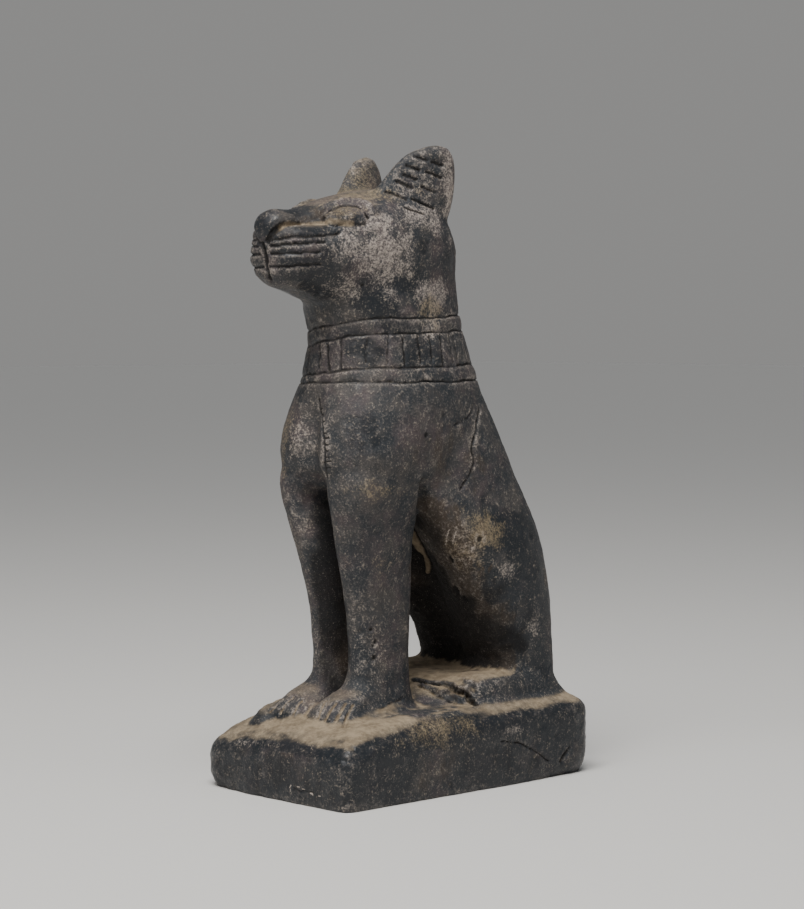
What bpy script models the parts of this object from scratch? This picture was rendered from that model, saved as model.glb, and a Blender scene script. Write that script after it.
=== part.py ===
"""A seated cat and its plinth, carved from one block of dark stone. Metres, +Z up, the cat faces -Y."""
import math

import bmesh
import bpy
import numpy as np
from mathutils import Vector
from mathutils.kdtree import KDTree

# Driving sizes, in metres
PLINTH_LENGTH = 0.176
PLINTH_WIDTH = 0.111
PLINTH_HEIGHT = 0.040
PLINTH_CORNER = 0.014  # radius of the upright corners
PLINTH_CRISP_CORNER = 0.0035  # radius of the front corner on the cat's left
PLINTH_FOOT_WEAR = 0.005  # how far in two opposite corners are worn at the underside
PLINTH_FOOT_HEIGHT = 0.009  # how far up that wear reaches
PLINTH_WORN_EDGE = 0.014  # how far in the worn top edges are rounded
PLINTH_WORN_FRONT = 0.009  # how much further in at the front
PLINTH_FRONT_DROP = 0.018  # how far the top edge is worn down at the front
PLINTH_MIDDLE_DROP = 0.012  # half-way along
PLINTH_BACK_DROP = 0.006  # at the back
PLINTH_RIGHT_DROP = 0.006  # further down along the front half of the cat's right side
PLINTH_TOP_SLOPE = 0.006  # how far the top itself sinks towards the front
PLINTH_CORNER_SLOPE = 0.008  # further at the front corner on the cat's right
FIGURE_HEIGHT = 0.280  # from the plinth's top to the ear tips
FIGURE_SET_BACK = 0.0  # moves the figure along the plinth

# Surface sizes, in metres
BLEND_VOXEL = 0.0020  # grid on which the rough forms flow into each other
CARVE_VOXEL = 0.0013  # grid that holds the carving
TRIANGLES = 9400
DETAIL_SHARE = 0.2  # how readily facets merge in the carved lines, against 1 elsewhere
DETAIL_FACTOR = 1.0

# The figure is drawn 280 units tall on ground at 40 units, so a unit is a millimetre at the real size
DRAWN_HEIGHT = 280.0
GROUND = 40.0
UNIT = FIGURE_HEIGHT / DRAWN_HEIGHT
RING_SIDES = 48
CORNER_STEPS = 10
SIDE_STEPS = 12

STONE_COLOUR = (0.060, 0.056, 0.054, 1.0)
STONE_ROUGHNESS = 0.62

# Hind part: height, front, back, half width, squareness in front and behind, narrowing to the back
HIND_RINGS = (
    (44, 48, 80, 40, 2.6, 3.4, 0.00),
    (58, 47, 80, 40.3, 2.6, 3.4, 0.00),
    (76, 41, 80.3, 40.8, 2.6, 3.3, 0.02),
    (92, 33, 80.3, 41.2, 2.6, 3.2, 0.04),
    (106, 26, 79.5, 41.2, 2.6, 3.1, 0.08),
    (118, 20.5, 77.6, 41, 2.6, 3.0, 0.10),
    (129, 15, 74.2, 40, 2.6, 2.9, 0.10),
    (141, 4, 69.3, 38.8, 2.6, 2.8, 0.10),
    (153, -10, 63.8, 37.8, 2.5, 2.7, 0.08),
    (166, -14, 57.8, 37, 2.5, 2.6, 0.08),
    (178, -14, 51.8, 35, 2.4, 2.5, 0.06),
    (190, -12, 45.8, 32, 2.4, 2.4, 0.05),
    (202, -10, 40.6, 28, 2.3, 2.3, 0.03),
    (215, -10, 35.0, 23, 2.2, 2.2, 0.00),
    (228, -10, 29.5, 17, 2.1, 2.1, 0.00),
)

# Thigh: height, across, front, back, half width, squareness; its inner half slopes back to the valley between
VALLEY_SQUARENESS = 2.0
VALLEY_MIDDLE = -8.0  # the valley lies towards the cat's right
RIGHT_THIGH_BACK = 6.0  # the cat's right thigh is worn back and in by this much low down
RIGHT_THIGH_IN = 3.0
RIGHT_THIGH_FADING = (72, 104)  # heights between which that wear fades
THIGH_RINGS = (
    (44, 27, 38, 74, 13.5, 2.4),
    (58, 27, 38, 75, 14.0, 2.4),
    (67, 27.3, 34.5, 75, 14.2, 2.4),
    (76, 27.5, 30, 75, 14.4, 2.4),
    (92, 28, 21.5, 74, 14.8, 2.4),
    (106, 28.3, 13.5, 70, 15.2, 2.4),
    (118, 28.2, 5.5, 64, 15.4, 2.4),
    (129, 27.3, -1.5, 56, 15.0, 2.4),
    (141, 25.5, -9, 48, 14.0, 2.3),
    (153, 23.0, -14, 40, 12.5, 2.2),
    (166, 20.5, -16, 32, 10.5, 2.1),
)

# Chest and neck, in the same order
CHEST_RINGS = (
    (149, -49, 3, 30, 2.6, 2.5, 0.00),
    (153, -56, 8, 33.5, 2.7, 2.6, 0.00),
    (158, -61, 15, 36.3, 2.8, 2.6, 0.00),
    (166, -63.4, 24, 37.8, 2.8, 2.6, 0.05),
    (178, -62.3, 36, 38.7, 2.7, 2.5, 0.05),
    (190, -59.6, 42, 38, 2.5, 2.4, 0.05),
    (202, -56, 41.8, 36, 2.3, 2.3, 0.03),
    (215, -54, 37.0, 33.5, 2.2, 2.2, 0.00),
    (228, -54, 33.2, 32, 2.1, 2.1, 0.00),
    (240, -57, 30.5, 31.7, 2.1, 2.1, 0.00),
    (252, -52, 28.0, 32, 2.1, 2.1, 0.00),
    (264, -40, 25.5, 32.2, 2.1, 2.1, 0.00),
    (274, -30, 23, 30.5, 2.1, 2.1, 0.00),
    (283, -24, 19, 26, 2.1, 2.1, 0.00),
)

# Head, from the back to the nose: distance forward, underside, top, half width, squareness, narrowing below
HEAD_RINGS = (
    (-24, 250, 274, 12, 2.0, 0.0),
    (-16, 242, 287, 24, 2.1, 0.0),
    (-4, 238, 295, 31, 2.3, 0.0),
    (10, 237, 298, 33.5, 2.4, 0.0),
    (25, 237, 297.5, 33.5, 2.5, 0.05),
    (40, 237.5, 295, 31, 2.6, 0.18),
    (52, 240, 292, 26.5, 2.7, 0.28),
    (61, 243, 289, 21.5, 2.7, 0.32),
    (69, 247, 284, 15, 2.6, 0.30),
    (76, 254, 277, 8, 2.4, 0.30),
)
MUZZLE_RINGS = (
    (36, 240, 282, 29.5, 2.7, 0.20),
    (44, 240, 282, 28.3, 2.8, 0.25),
    (54, 240.5, 281.5, 26.2, 2.9, 0.28),
    (64, 243, 281, 23.6, 3.0, 0.30),
    (73, 245.9, 280.2, 21.2, 3.0, 0.30),
    (81, 248.2, 279.5, 19.5, 3.0, 0.25),
    (86.0, 250.5, 278, 17.0, 2.8, 0.16),
    (89.8, 254, 275, 11.5, 2.4, 0.10),
)
NOSE_RINGS = (
    (48, 268, 292.5, 17, 2.2, 0.0),
    (60, 270, 289.8, 11.5, 2.2, 0.0),
    (70, 270, 287.4, 9.6, 2.2, 0.0),
    (79, 268, 286.2, 9.8, 2.2, 0.0),
    (86, 265, 286.6, 11.2, 2.1, 0.15),
    (90.5, 264.5, 284.6, 9.8, 2.0, 0.25),
    (93.3, 268.5, 280.5, 5.5, 2.0, 0.2),
)

# Ear: height, across, along, half length, half thickness; its flat runs EAR_TURN degrees from the X axis
EAR_TURN = 73.0
EAR_RINGS = (
    (278, 16.2, -12.7, 22.0, 8.5),
    (288, 17.8, -10.8, 23.0, 7.8),
    (296, 19.4, -8.8, 22.3, 6.8),
    (304, 21.2, -6.3, 19.8, 6.0),
    (311, 23.0, -4.2, 16.2, 5.4),
    (316.5, 24.8, -1.8, 11.4, 4.6),
    (319.8, 26.1, 0.2, 6.2, 3.0),
)
EAR_BASE = 290.0  # height where the ear leaves the head
RIGHT_EAR_SHARE = 0.88  # the cat's right ear is a little smaller than its left
RIGHT_EAR_TAPER = 0.14  # but as long at its base, and more pointed

# Foreleg: height, inner side on the left and on the right leg, outer side, front, back, squareness
FORELEG_RINGS = (
    (38, 2.5, 2.0, 28.0, -56, -9.5, 2.6),
    (46, 3.5, 2.0, 25.6, -51, -9.8, 2.5),
    (56, 4.5, 1.8, 23.7, -47.3, -10.2, 2.5),
    (68, 4.7, 1.8, 23.3, -46.5, -10.4, 2.5),
    (80, 5.3, 1.8, 23.3, -47.5, -10.0, 2.5),
    (93, 5.5, 1.9, 23.6, -49.5, -9.4, 2.5),
    (105, 5.3, 2.2, 24.8, -52.2, -9.4, 2.4),
    (117, 4.6, 4.0, 26.6, -54.8, -9.6, 2.3),
    (129, 3.6, 6.2, 28.8, -57.6, -9.5, 2.3),
    (141, 2.5, 9.5, 32.0, -59.5, -9.0, 2.5),
    (149, 1.5, 9.0, 33.8, -60.0, -8.0, 2.7),
    (156, -4.0, -2.0, 34.8, -59.5, -5, 2.7),
    (166, -0.5, -0.5, 33.5, -54, 0, 2.2),
    (178, 0.5, 0.5, 30.5, -46, 0, 2.2),
)
RIGHT_LEG_SLIM = 2.2  # the right leg's outer side stands in by this much
RIGHT_LEG_SLIM_TOP = (146, 156)  # heights between which that fades
# Web of stone between the forelegs: height, front, back
WEB_RINGS = ((38, -27, -16), (90, -28, -16), (130, -34, -14), (156, -48, -8))
WEB_HALF_WIDTH = 9.0

# Forepaw: distance forward, across, top, half width
PAW_RINGS = (
    (22, 14.3, 52, 10.8),
    (40, 14.3, 54, 11.2),
    (50, 14.0, 51, 12.6),
    (58, 13.6, 47.2, 13.6),
    (63, 13.7, 44.0, 13.2),
    (66.5, 13.9, 40.5, 10.6),
)

# Raised ground between the hind feet, and each hind foot: height, across, front, back, half width, squareness
MOUND_RINGS = (
    (34, 0, -16, 84, 37, 2.8),
    (41, 0, -10, 83, 37, 2.8),
    (46, 0, -4, 78, 36.5, 2.8),
    (50, 0, 3, 74, 35, 2.8),
    (52.5, 0, 12, 70, 31, 2.8),
)
FOOT_RINGS = (
    (34, 30, 9, 84, 13.5, 3.6),
    (41, 30, 9, 83, 13.5, 3.6),
    (46, 30, 9.5, 78, 13.5, 3.6),
    (51, 30, 12, 73, 12.5, 3.4),
    (54, 30, 17, 70, 10, 3.0),
)

# Tail, along the right side of the plinth to the right forepaw: across, along, height, radius
TAIL_POINTS = (
    (-12, 76, 58, 8.0),
    (-30, 73, 51, 8.0),
    (-39, 58, 47, 7.6),
    (-41, 35, 46, 7.4),
    (-41, 10, 44.5, 7.2),
    (-39.5, -15, 41, 6.8),
    (-36.5, -38, 37, 6.6),
    (-32, -54, 34.5, 7.2),
    (-28, -64, 32.5, 7.6),
    (-27, -71, 30.5, 5.5),
)

# Hollow down the middle of the chest: half width, depth, heights where it starts, is full, and ends
CHEST_HOLLOW = (6.5, 6.0, 145, 156, 180, 204)

# Carved lines of the head, the same on both sides: points across, along and up, then width and depth
MUZZLE_LINE = ((16.5, -64, 280.4), (11.3, -74, 280), (10.6, -85.7, 279.1), (8.5, -91, 275.6), (3.7, -92.4, 270))
LIP_LINE = ((0.5, -92, 269), (0, -90, 260), (0, -89, 250))
EYE_TOP_LINE = ((16.8, -64, 280.8), (17.1, -58.6, 284.9), (18.5, -53, 286.6), (22, -50, 285.2), (26, -48, 281))
EYE_UNDER_LINE = ((16.8, -64, 280.4), (22, -56.6, 279.4), (26, -48, 280.2))
BROW_RIDGE = ((10.1, -68.6, 282.5), (11.5, -58, 288.5), (15.1, -47, 291.2), (21.6, -43.6, 288.7), (25.8, -42.2, 284.7))
EYEBALL_RIDGE = ((18.5, -60.5, 281.8), (21.5, -55.5, 283), (24, -50.5, 282.2))
HEAD_LINES = (
    (MUZZLE_LINE, 4.5, 2.4),
    (LIP_LINE, 3.2, 1.8),
    (EYE_TOP_LINE, 3.4, 1.5),
    (EYE_UNDER_LINE, 3.0, 1.2),
    (BROW_RIDGE, 5.0, -1.0),
    (EYEBALL_RIDGE, 6.5, -1.3),
    (((6.9, -91.4, 271.2), (18.2, -80.3, 272.8), (21.9, -61.6, 274.3)), 2.6, 1.2),
    (((5.5, -91.5, 267.9), (17.9, -83.2, 269.2), (21, -69.9, 270.2)), 2.6, 1.2),
    (((4.1, -90.2, 263.6), (17.4, -84.7, 264.6), (21, -73.2, 265.2)), 2.6, 1.2),
    (((3.5, -89.7, 258.0), (16.4, -83.8, 258.9), (20, -72.3, 259.5)), 2.6, 1.2),
)

# Grooves on the outer face of each ear, in two columns: each from its front end to its rear end
EAR_LINE_WIDTH = 2.6
EAR_LINE_DEPTH = 1.2
EAR_LINES = (
    ((24.0, -13.8, 313.5), (27.5, -7.7, 311.6)),
    ((22.9, -17.6, 308.7), (25.9, -11.7, 306.8)),
    ((22.4, -19.3, 304.3), (25.2, -13.2, 302.1)),
    ((20.9, -22.3, 301.1), (24.6, -14.8, 297.7)),
    ((18.8, -27.8, 295.5), (24.7, -19.3, 291.6)),
    ((28.3, -5.2, 310.9), (29.5, 0.3, 309.5)),
    ((27.0, -8.3, 306.1), (29.0, 0.7, 303.3)),
    ((26.0, -10.7, 298.6), (28.0, -2.7, 296.0)),
    ((25.0, -16.3, 292.1), (27.8, -3.6, 288.1)),
    ((27.2, -22.8, 288.3), (29.5, -11.9, 285.0)),
)

# Collar: each line's height at the middle of the neck, dip at the throat, tilt to the cat's right there, and
# climb to the back; then its bars
COLLAR_LINES = ((234.4, 2.7, 0.16, 0.045), (227.0, 2.7, 0.16, 0.045), (210.0, 1.6, 0.11, 0.03), (202.2, 0.0, 0.03, 0.0))
COLLAR_WIDTH = 2.6
COLLAR_DEPTH = 1.2
BAR_ANGLES = (-92, -84, -74, -57, -42, -28, -13, 0, 13, 25, 33)  # round the neck from the cat's left side
HIDDEN_BARS = 15  # more of them on the far side and the back
BAR_WIDTH = 2.4
BAR_DEPTH = 1.0

# Grooves between the toes
TOE_WIDTH = 2.8
TOE_DEPTH = 1.5
TOE_LINES = (
    ((18.5, -61, 45), (17.2, -67.6, 37.4)),
    ((22.5, -58.6, 45.7), (23.9, -67, 37)),
    ((27.3, -55.3, 41.4), (28.5, -62, 37)),
    ((-7.0, -57, 46.5), (-4.0, -60, 40)),
    ((-11.3, -60.8, 45.3), (-9.0, -66, 38)),
    ((-16.5, -60.5, 45.5), (-16.5, -67, 37.5)),
    ((-22.0, -57, 44), (-23.0, -64, 37)),
    ((25.0, 17, 54), (25.0, 9, 42)),
    ((31.0, 17, 54), (31.5, 9, 42)),
    ((37.0, 17, 53.5), (38.0, 10, 42)),
)


# Notch that runs up between each foreleg and the haunch, above the open gap: points, width and depth
ARMPIT_LINES = (
    (((26.5, -11.0, 139), (28.5, -12.5, 143), (30.0, -13.5, 147)), 7.0, 4.0),
    (((30.0, -13.5, 146), (31.5, -15.0, 150), (33.5, -16.0, 153.5)), 4.5, 2.5),
)


def clear_scene():
    for obj in list(bpy.data.objects):
        bpy.data.objects.remove(obj, do_unlink=True)


def place(x, y, z):
    """A point of the drawing, in metres on the plinth."""
    return Vector((x * UNIT, y * UNIT + FIGURE_SET_BACK, PLINTH_HEIGHT + (z - GROUND) * UNIT))


def superellipse(half_a, half_b, squareness, count=RING_SIDES):
    """Points round a superellipse, counter-clockwise; squareness 2 is an ellipse."""
    power = 2.0 / squareness
    points = []
    for i in range(count):
        angle = 2 * math.pi * i / count
        c, s = math.cos(angle), math.sin(angle)
        a = math.copysign(abs(c) ** power, c) * half_a
        b = math.copysign(abs(s) ** power, s) * half_b
        points.append((a, b))
    return points


def closed_loft(rings):
    """One closed body through rings of as many points each, with flat ends."""
    mesh = bpy.data.meshes.new("form")
    bm = bmesh.new()
    loops = [[bm.verts.new(point) for point in ring] for ring in rings]
    for low, high in zip(loops, loops[1:]):
        for i in range(len(low)):
            j = (i + 1) % len(low)
            bm.faces.new((low[i], low[j], high[j], high[i]))
    bm.faces.new(reversed(loops[0]))
    bm.faces.new(loops[-1])
    bmesh.ops.recalc_face_normals(bm, faces=bm.faces)
    bm.to_mesh(mesh)
    bm.free()
    obj = bpy.data.objects.new("form", mesh)
    bpy.context.collection.objects.link(obj)
    return obj


def smooth_between(rows, steps=4):
    """Rows of numbers with more rows between them, on a Catmull-Rom curve."""
    rows = [np.array(row, float) for row in rows]
    out = []
    for k in range(len(rows) - 1):
        before = rows[max(k - 1, 0)]
        after = rows[min(k + 2, len(rows) - 1)]
        for step in range(steps):
            t = step / steps
            slope_a = (rows[k + 1] - before) / 2
            slope_b = (after - rows[k]) / 2
            h1 = 2 * t**3 - 3 * t**2 + 1
            h2 = t**3 - 2 * t**2 + t
            h3 = -2 * t**3 + 3 * t**2
            h4 = t**3 - t**2
            out.append(h1 * rows[k] + h2 * slope_a + h3 * rows[k + 1] + h4 * slope_b)
    out.append(rows[-1])
    return out


def upright_form(rows):
    """A body through level rings given by their front, back and half width."""
    rings = []
    for height, front, back, half_width, square_front, square_back, narrowing in smooth_between(rows):
        middle, half_depth = (front + back) / 2, (back - front) / 2
        rear = superellipse(half_width, half_depth, square_back)[: RING_SIDES // 2]
        fore = superellipse(half_width, half_depth, square_front)[RING_SIDES // 2 :]
        ring = []
        for a, b in rear + fore:
            a *= 1 - narrowing * b / half_depth
            ring.append(place(a, middle + b, height))
        rings.append(ring)
    return closed_loft(rings)


def forward_form(rows):
    """A body through upright rings across the cat, given by underside, top and half width."""
    rings = []
    for forward, under, top, half_width, squareness, narrowing in smooth_between(rows):
        middle, half_height = (under + top) / 2, (top - under) / 2
        ring = []
        for a, b in superellipse(half_width, half_height, squareness):
            a *= 1 - narrowing * max(-b / half_height, 0.0)
            ring.append(place(a, -forward, middle + b))
        rings.append(ring)
    return closed_loft(rings)


def ear(side):
    turn = math.radians(EAR_TURN)
    along, thick = (math.cos(turn), math.sin(turn)), (math.sin(turn), -math.cos(turn))
    share = 1.0 if side > 0 else RIGHT_EAR_SHARE
    rings = []
    for height, across, fore, half_length, half_thick in smooth_between(EAR_RINGS):
        if side < 0:
            up = max(height - EAR_BASE, 0.0) / (EAR_RINGS[-1][0] - EAR_BASE)
            half_length *= 1 - RIGHT_EAR_TAPER * (2 * up - up * up)
        height = EAR_BASE + (height - EAR_BASE) * share
        ring = []
        for a, b in superellipse(half_length, half_thick, 2.3):
            x = across + a * along[0] + b * thick[0]
            y = fore + a * along[1] + b * thick[1]
            ring.append(place(side * x, y, height))
        rings.append(ring)
    return closed_loft(rings)


def leg(side, rows):
    """A leg, a foot or the ground between the feet, through level rings."""
    rings = []
    for height, across, front, back, half_width, squareness in smooth_between(rows):
        middle, half_depth = (front + back) / 2, (back - front) / 2
        points = superellipse(half_width, half_depth, squareness)
        rings.append([place(side * across + a, middle + b, height) for a, b in points])
    return closed_loft(rings)


def foreleg(side):
    rows = []
    for height, left_inner, right_inner, outer, front, back, squareness in FORELEG_RINGS:
        inner = left_inner
        if side < 0:
            inner = right_inner
            outer -= RIGHT_LEG_SLIM * (1 - eased(height, *RIGHT_LEG_SLIM_TOP))
        rows.append((height, (inner + outer) / 2, front, back, (outer - inner) / 2, squareness))
    return leg(side, rows)


def thigh(side):
    """One haunch, whose inner half is a gentler curve that reaches the valley."""
    rings = []
    for height, across, front, back, half_width, squareness in smooth_between(THIGH_RINGS):
        if side < 0:
            low = 1 - eased(height, *RIGHT_THIGH_FADING)
            front += RIGHT_THIGH_BACK * low
            across -= RIGHT_THIGH_IN * low
        middle, half_depth = (front + back) / 2, (back - front) / 2
        outer = superellipse(half_width, half_depth, squareness)
        inner = superellipse(across - side * VALLEY_MIDDLE, half_depth, VALLEY_SQUARENESS)
        ring = [out if out[0] >= 0 else near for out, near in zip(outer, inner)]
        rings.append([place(side * (across + a), middle + b, height) for a, b in ring])
    return closed_loft(rings)


def forepaw(side):
    rings = []
    for forward, across, top, half_width in smooth_between(PAW_RINGS):
        under = GROUND - 14
        middle, half_height = (under + top) / 2, (top - under) / 2
        points = superellipse(half_width, half_height, 2.6)
        rings.append([place(side * across + a, -forward, middle + b) for a, b in points])
    return closed_loft(rings)


def web():
    rows = [(height, front, back, WEB_HALF_WIDTH, 3.0, 3.0, 0.0) for height, front, back in WEB_RINGS]
    return upright_form(rows)


def tail():
    points = smooth_between(TAIL_POINTS)
    rings = []
    for k, (x, y, z, radius) in enumerate(points):
        ahead = points[min(k + 1, len(points) - 1)][:3] - points[max(k - 1, 0)][:3]
        ahead = Vector(ahead).normalized()
        side = ahead.cross(Vector((0, 0, 1))).normalized()
        up = side.cross(ahead)
        ring = []
        for a, b in superellipse(radius, radius, 2.0, 24):
            p = Vector((x, y, z)) + side * a + up * b
            ring.append(place(*p))
        rings.append(ring)
    return closed_loft(rings)


def plinth_outline(inset):
    """Rounded rectangle, drawn in from the plinth's outline."""
    half_x, half_y = PLINTH_WIDTH / 2 - inset, PLINTH_LENGTH / 2 - inset
    corners = (
        (1, 1, 0, PLINTH_CORNER),
        (-1, 1, 90, PLINTH_CORNER),
        (-1, -1, 180, PLINTH_CORNER),
        (1, -1, 270, PLINTH_CRISP_CORNER),
    )
    points = []
    for sx, sy, start, outer_radius in corners:
        radius = min(max(outer_radius, inset * 0.8), half_x * 0.9)
        for i in range(CORNER_STEPS + 1):
            angle = math.radians(start + 90 * i / CORNER_STEPS)
            x = sx * (half_x - radius) + radius * math.cos(angle)
            y = sy * (half_y - radius) + radius * math.sin(angle)
            points.append((x, y))
    return points


def plinth_fill(points):
    """The same outline with its straight sides cut into short lengths, as many for every ring."""
    out = []
    for k, (x, y) in enumerate(points):
        nx, ny = points[(k + 1) % len(points)]
        pieces = SIDE_STEPS if k % (CORNER_STEPS + 1) == CORNER_STEPS else 1
        for i in range(pieces):
            t = i / pieces
            out.append((x + (nx - x) * t, y + (ny - y) * t))
    return out


def plinth():
    """The block, with its top edges worn round and lower at the front."""
    below = 0.010  # cut away again where the underside is made flat
    steps = 7
    rings = []
    outline = plinth_fill(plinth_outline(0.0))
    for height in (-below, 0.0, 0.1, 0.25, 0.5, 1.0):
        rings.append([foot_worn(x, y, height if height < 0 else height * PLINTH_FOOT_HEIGHT) for x, y in outline])
    rings.append([(x, y, (PLINTH_FOOT_HEIGHT + worn_height(x, y)) / 2) for x, y in outline])
    for k in range(steps + 1):
        angle = math.radians(90 * k / steps)
        inset = PLINTH_WORN_EDGE * (1 - math.cos(angle))
        ring = []
        for x, y in plinth_fill(plinth_outline(inset)):
            edge, top = worn_height(x, y), top_height(x, y)
            forward = min(max(-2 * y / PLINTH_LENGTH, 0.0), 1.0)
            y += PLINTH_WORN_FRONT * (1 - math.cos(angle)) * forward**3
            ring.append((x, y, edge + (top - edge) * math.sin(angle)))
        rings.append(ring)
    for share in (0.45, 0.7, 0.9):
        inset = PLINTH_WIDTH / 2 * share
        rings.append([(x, y, top_height(x, y)) for x, y in plinth_fill(plinth_outline(inset))])
    return closed_loft(rings)


def foot_worn(x, y, z):
    """A point of the plinth's side, drawn in low down near the corners at the front right and the back left."""
    corner = abs(2 * x / PLINTH_WIDTH + 2 * y / PLINTH_LENGTH) / 2
    up = min(max(z / PLINTH_FOOT_HEIGHT, 0.0), 1.0)
    inset = PLINTH_FOOT_WEAR * eased(corner, 0.6, 0.95) * (1 - math.sqrt(1 - (1 - up) ** 2))
    return (x * (1 - 2 * inset / PLINTH_WIDTH), y * (1 - 2 * inset / PLINTH_LENGTH), z)


def top_height(x, y):
    """The plinth's top sinks towards the front, and more at the corner on the cat's right."""
    forward = min(max((-y / PLINTH_LENGTH - 0.2) / 0.3, 0.0), 1.0)
    rightward = min(max(-2 * x / PLINTH_WIDTH, 0.0), 1.0)
    return PLINTH_HEIGHT - (PLINTH_TOP_SLOPE + PLINTH_CORNER_SLOPE * rightward) * forward


def worn_height(x, y):
    """Where the plinth's side face ends and its worn edge begins."""
    forward = min(max(-2 * y / PLINTH_LENGTH, 0.0), 1.0)
    back = min(max(2 * y / PLINTH_LENGTH, 0.0), 1.0)
    rightward = min(max(-2 * x / PLINTH_WIDTH, 0.0), 1.0)
    drop = PLINTH_MIDDLE_DROP
    drop += (PLINTH_FRONT_DROP - PLINTH_MIDDLE_DROP) * forward
    drop += (PLINTH_BACK_DROP - PLINTH_MIDDLE_DROP) * back
    drop += PLINTH_RIGHT_DROP * min(forward * 1.6, 1.0) * rightward**2
    return PLINTH_HEIGHT - drop


def mesh_of(obj):
    """The object's mesh with its modifiers applied; the object itself goes."""
    graph = bpy.context.evaluated_depsgraph_get()
    mesh = bpy.data.meshes.new_from_object(obj.evaluated_get(graph))
    bpy.data.objects.remove(obj, do_unlink=True)
    return mesh


def new_object(name, mesh):
    obj = bpy.data.objects.new(name, mesh)
    bpy.context.collection.objects.link(obj)
    return obj


def joined(objects):
    """All the forms in one mesh, still passing through each other."""
    bm = bmesh.new()
    for obj in objects:
        bm.from_mesh(obj.data)
        bpy.data.objects.remove(obj, do_unlink=True)
    mesh = bpy.data.meshes.new("forms")
    bm.to_mesh(mesh)
    bm.free()
    return new_object("forms", mesh)


def remeshed(obj, voxel, rounds):
    """One outer skin on an even grid, smoothed."""
    remesh = obj.modifiers.new("skin", "REMESH")
    remesh.mode = "VOXEL"
    remesh.voxel_size = voxel
    smooth = obj.modifiers.new("soft", "SMOOTH")
    smooth.factor = 0.5
    smooth.iterations = rounds
    return mesh_of(obj)


def rough_figure():
    forms = [
        upright_form(HIND_RINGS),
        upright_form(CHEST_RINGS),
        forward_form(HEAD_RINGS),
        forward_form(MUZZLE_RINGS),
        forward_form(NOSE_RINGS),
        web(),
        leg(1, MOUND_RINGS),
        tail(),
        plinth(),
    ]
    for side in (1, -1):
        forms += [ear(side), foreleg(side), forepaw(side)]
        forms += [thigh(side), leg(side, FOOT_RINGS)]
    return joined(forms)


def eased(value, start, end):
    """0 before the start, 1 after the end, and smooth between."""
    t = np.clip((value - start) / (end - start), 0.0, 1.0)
    return t * t * (3 - 2 * t)


def drawn_points(mesh):
    """The mesh's points in drawing units, one array for each axis."""
    flat = np.empty(len(mesh.vertices) * 3)
    mesh.vertices.foreach_get("co", flat)
    x, y, z = flat.reshape(-1, 3).T
    return x / UNIT, (y - FIGURE_SET_BACK) / UNIT, (z - PLINTH_HEIGHT) / UNIT + GROUND


def hollow_chest(mesh):
    """Sinks the middle of the chest between the shoulders."""
    half_width, depth, start, full, fading, end = CHEST_HOLLOW
    x, y, z = drawn_points(mesh)
    window = eased(z, start, full) * (1 - eased(z, fading, end)) * (1 - eased(y, -45, -30))
    sunk = depth * np.exp(-((x / half_width) ** 2)) * window
    flat = np.empty(len(mesh.vertices) * 3)
    mesh.vertices.foreach_get("co", flat)
    flat[1::3] += sunk * UNIT
    mesh.vertices.foreach_set("co", flat)


def mirrored(points, side):
    return tuple((side * x, y, z) for x, y, z in points)


def carved_lines():
    """Every carved line: its points, width and depth."""
    lines = []
    for side in (1, -1):
        for points, width, depth in HEAD_LINES + ARMPIT_LINES:
            lines.append((mirrored(points, side), width, depth))
        share = 1.0 if side > 0 else RIGHT_EAR_SHARE
        for points in EAR_LINES:
            points = [(x, y, EAR_BASE + (z - EAR_BASE) * share) for x, y, z in points]
            lines.append((mirrored(points, side), EAR_LINE_WIDTH, EAR_LINE_DEPTH))
    lines += [(points, TOE_WIDTH, TOE_DEPTH) for points in TOE_LINES]
    return lines


def along_line(points, spacing=0.6):
    """Closely spaced points on the line, in metres."""
    out = []
    for start, end in zip(points, points[1:]):
        start, end = Vector(start), Vector(end)
        count = max(int((end - start).length / spacing), 1)
        out += [place(*start.lerp(end, i / count)) for i in range(count + 1)]
    return out


def line_depths(mesh):
    """How deep each point of the skin lies in a carved line; a ridge counts below zero."""
    tree = KDTree(len(mesh.vertices))
    for vert in mesh.vertices:
        tree.insert(vert.co, vert.index)
    tree.balance()
    sunk = np.zeros(len(mesh.vertices))
    for points, width, depth in carved_lines():
        reach = width / 2 * UNIT
        nearest = {}
        for point in along_line(points):
            on_skin = tree.find(point)[0]
            for _, index, distance in tree.find_range(on_skin, reach):
                nearest[index] = min(distance, nearest.get(index, reach))
        for index, distance in nearest.items():
            value = depth * (1 - (distance / reach) ** 2)
            if abs(value) > abs(sunk[index]):
                sunk[index] = value
    return sunk


def groove(distance, width, depth):
    return depth * np.clip(1 - (2 * distance / width) ** 2, 0.0, 1.0)


def collar_height(x, y, line):
    """Height of one of the collar's lines at a place on the neck."""
    height, dip, tilt, climb = COLLAR_LINES[line]
    throat = np.clip((-y - 25) / 25, 0.0, 1.0)
    return height + climb * y + (tilt * x - dip) * throat


def bar_angles():
    """Directions of the collar's bars, unevenly spaced where they are out of sight."""
    first, last = BAR_ANGLES[-1], BAR_ANGLES[0] + 360
    step = (last - first) / (HIDDEN_BARS + 1)
    hidden = [first + step * (i + 1) + 2.0 * math.sin(i * 2.3) for i in range(HIDDEN_BARS)]
    return list(BAR_ANGLES) + hidden


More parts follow.
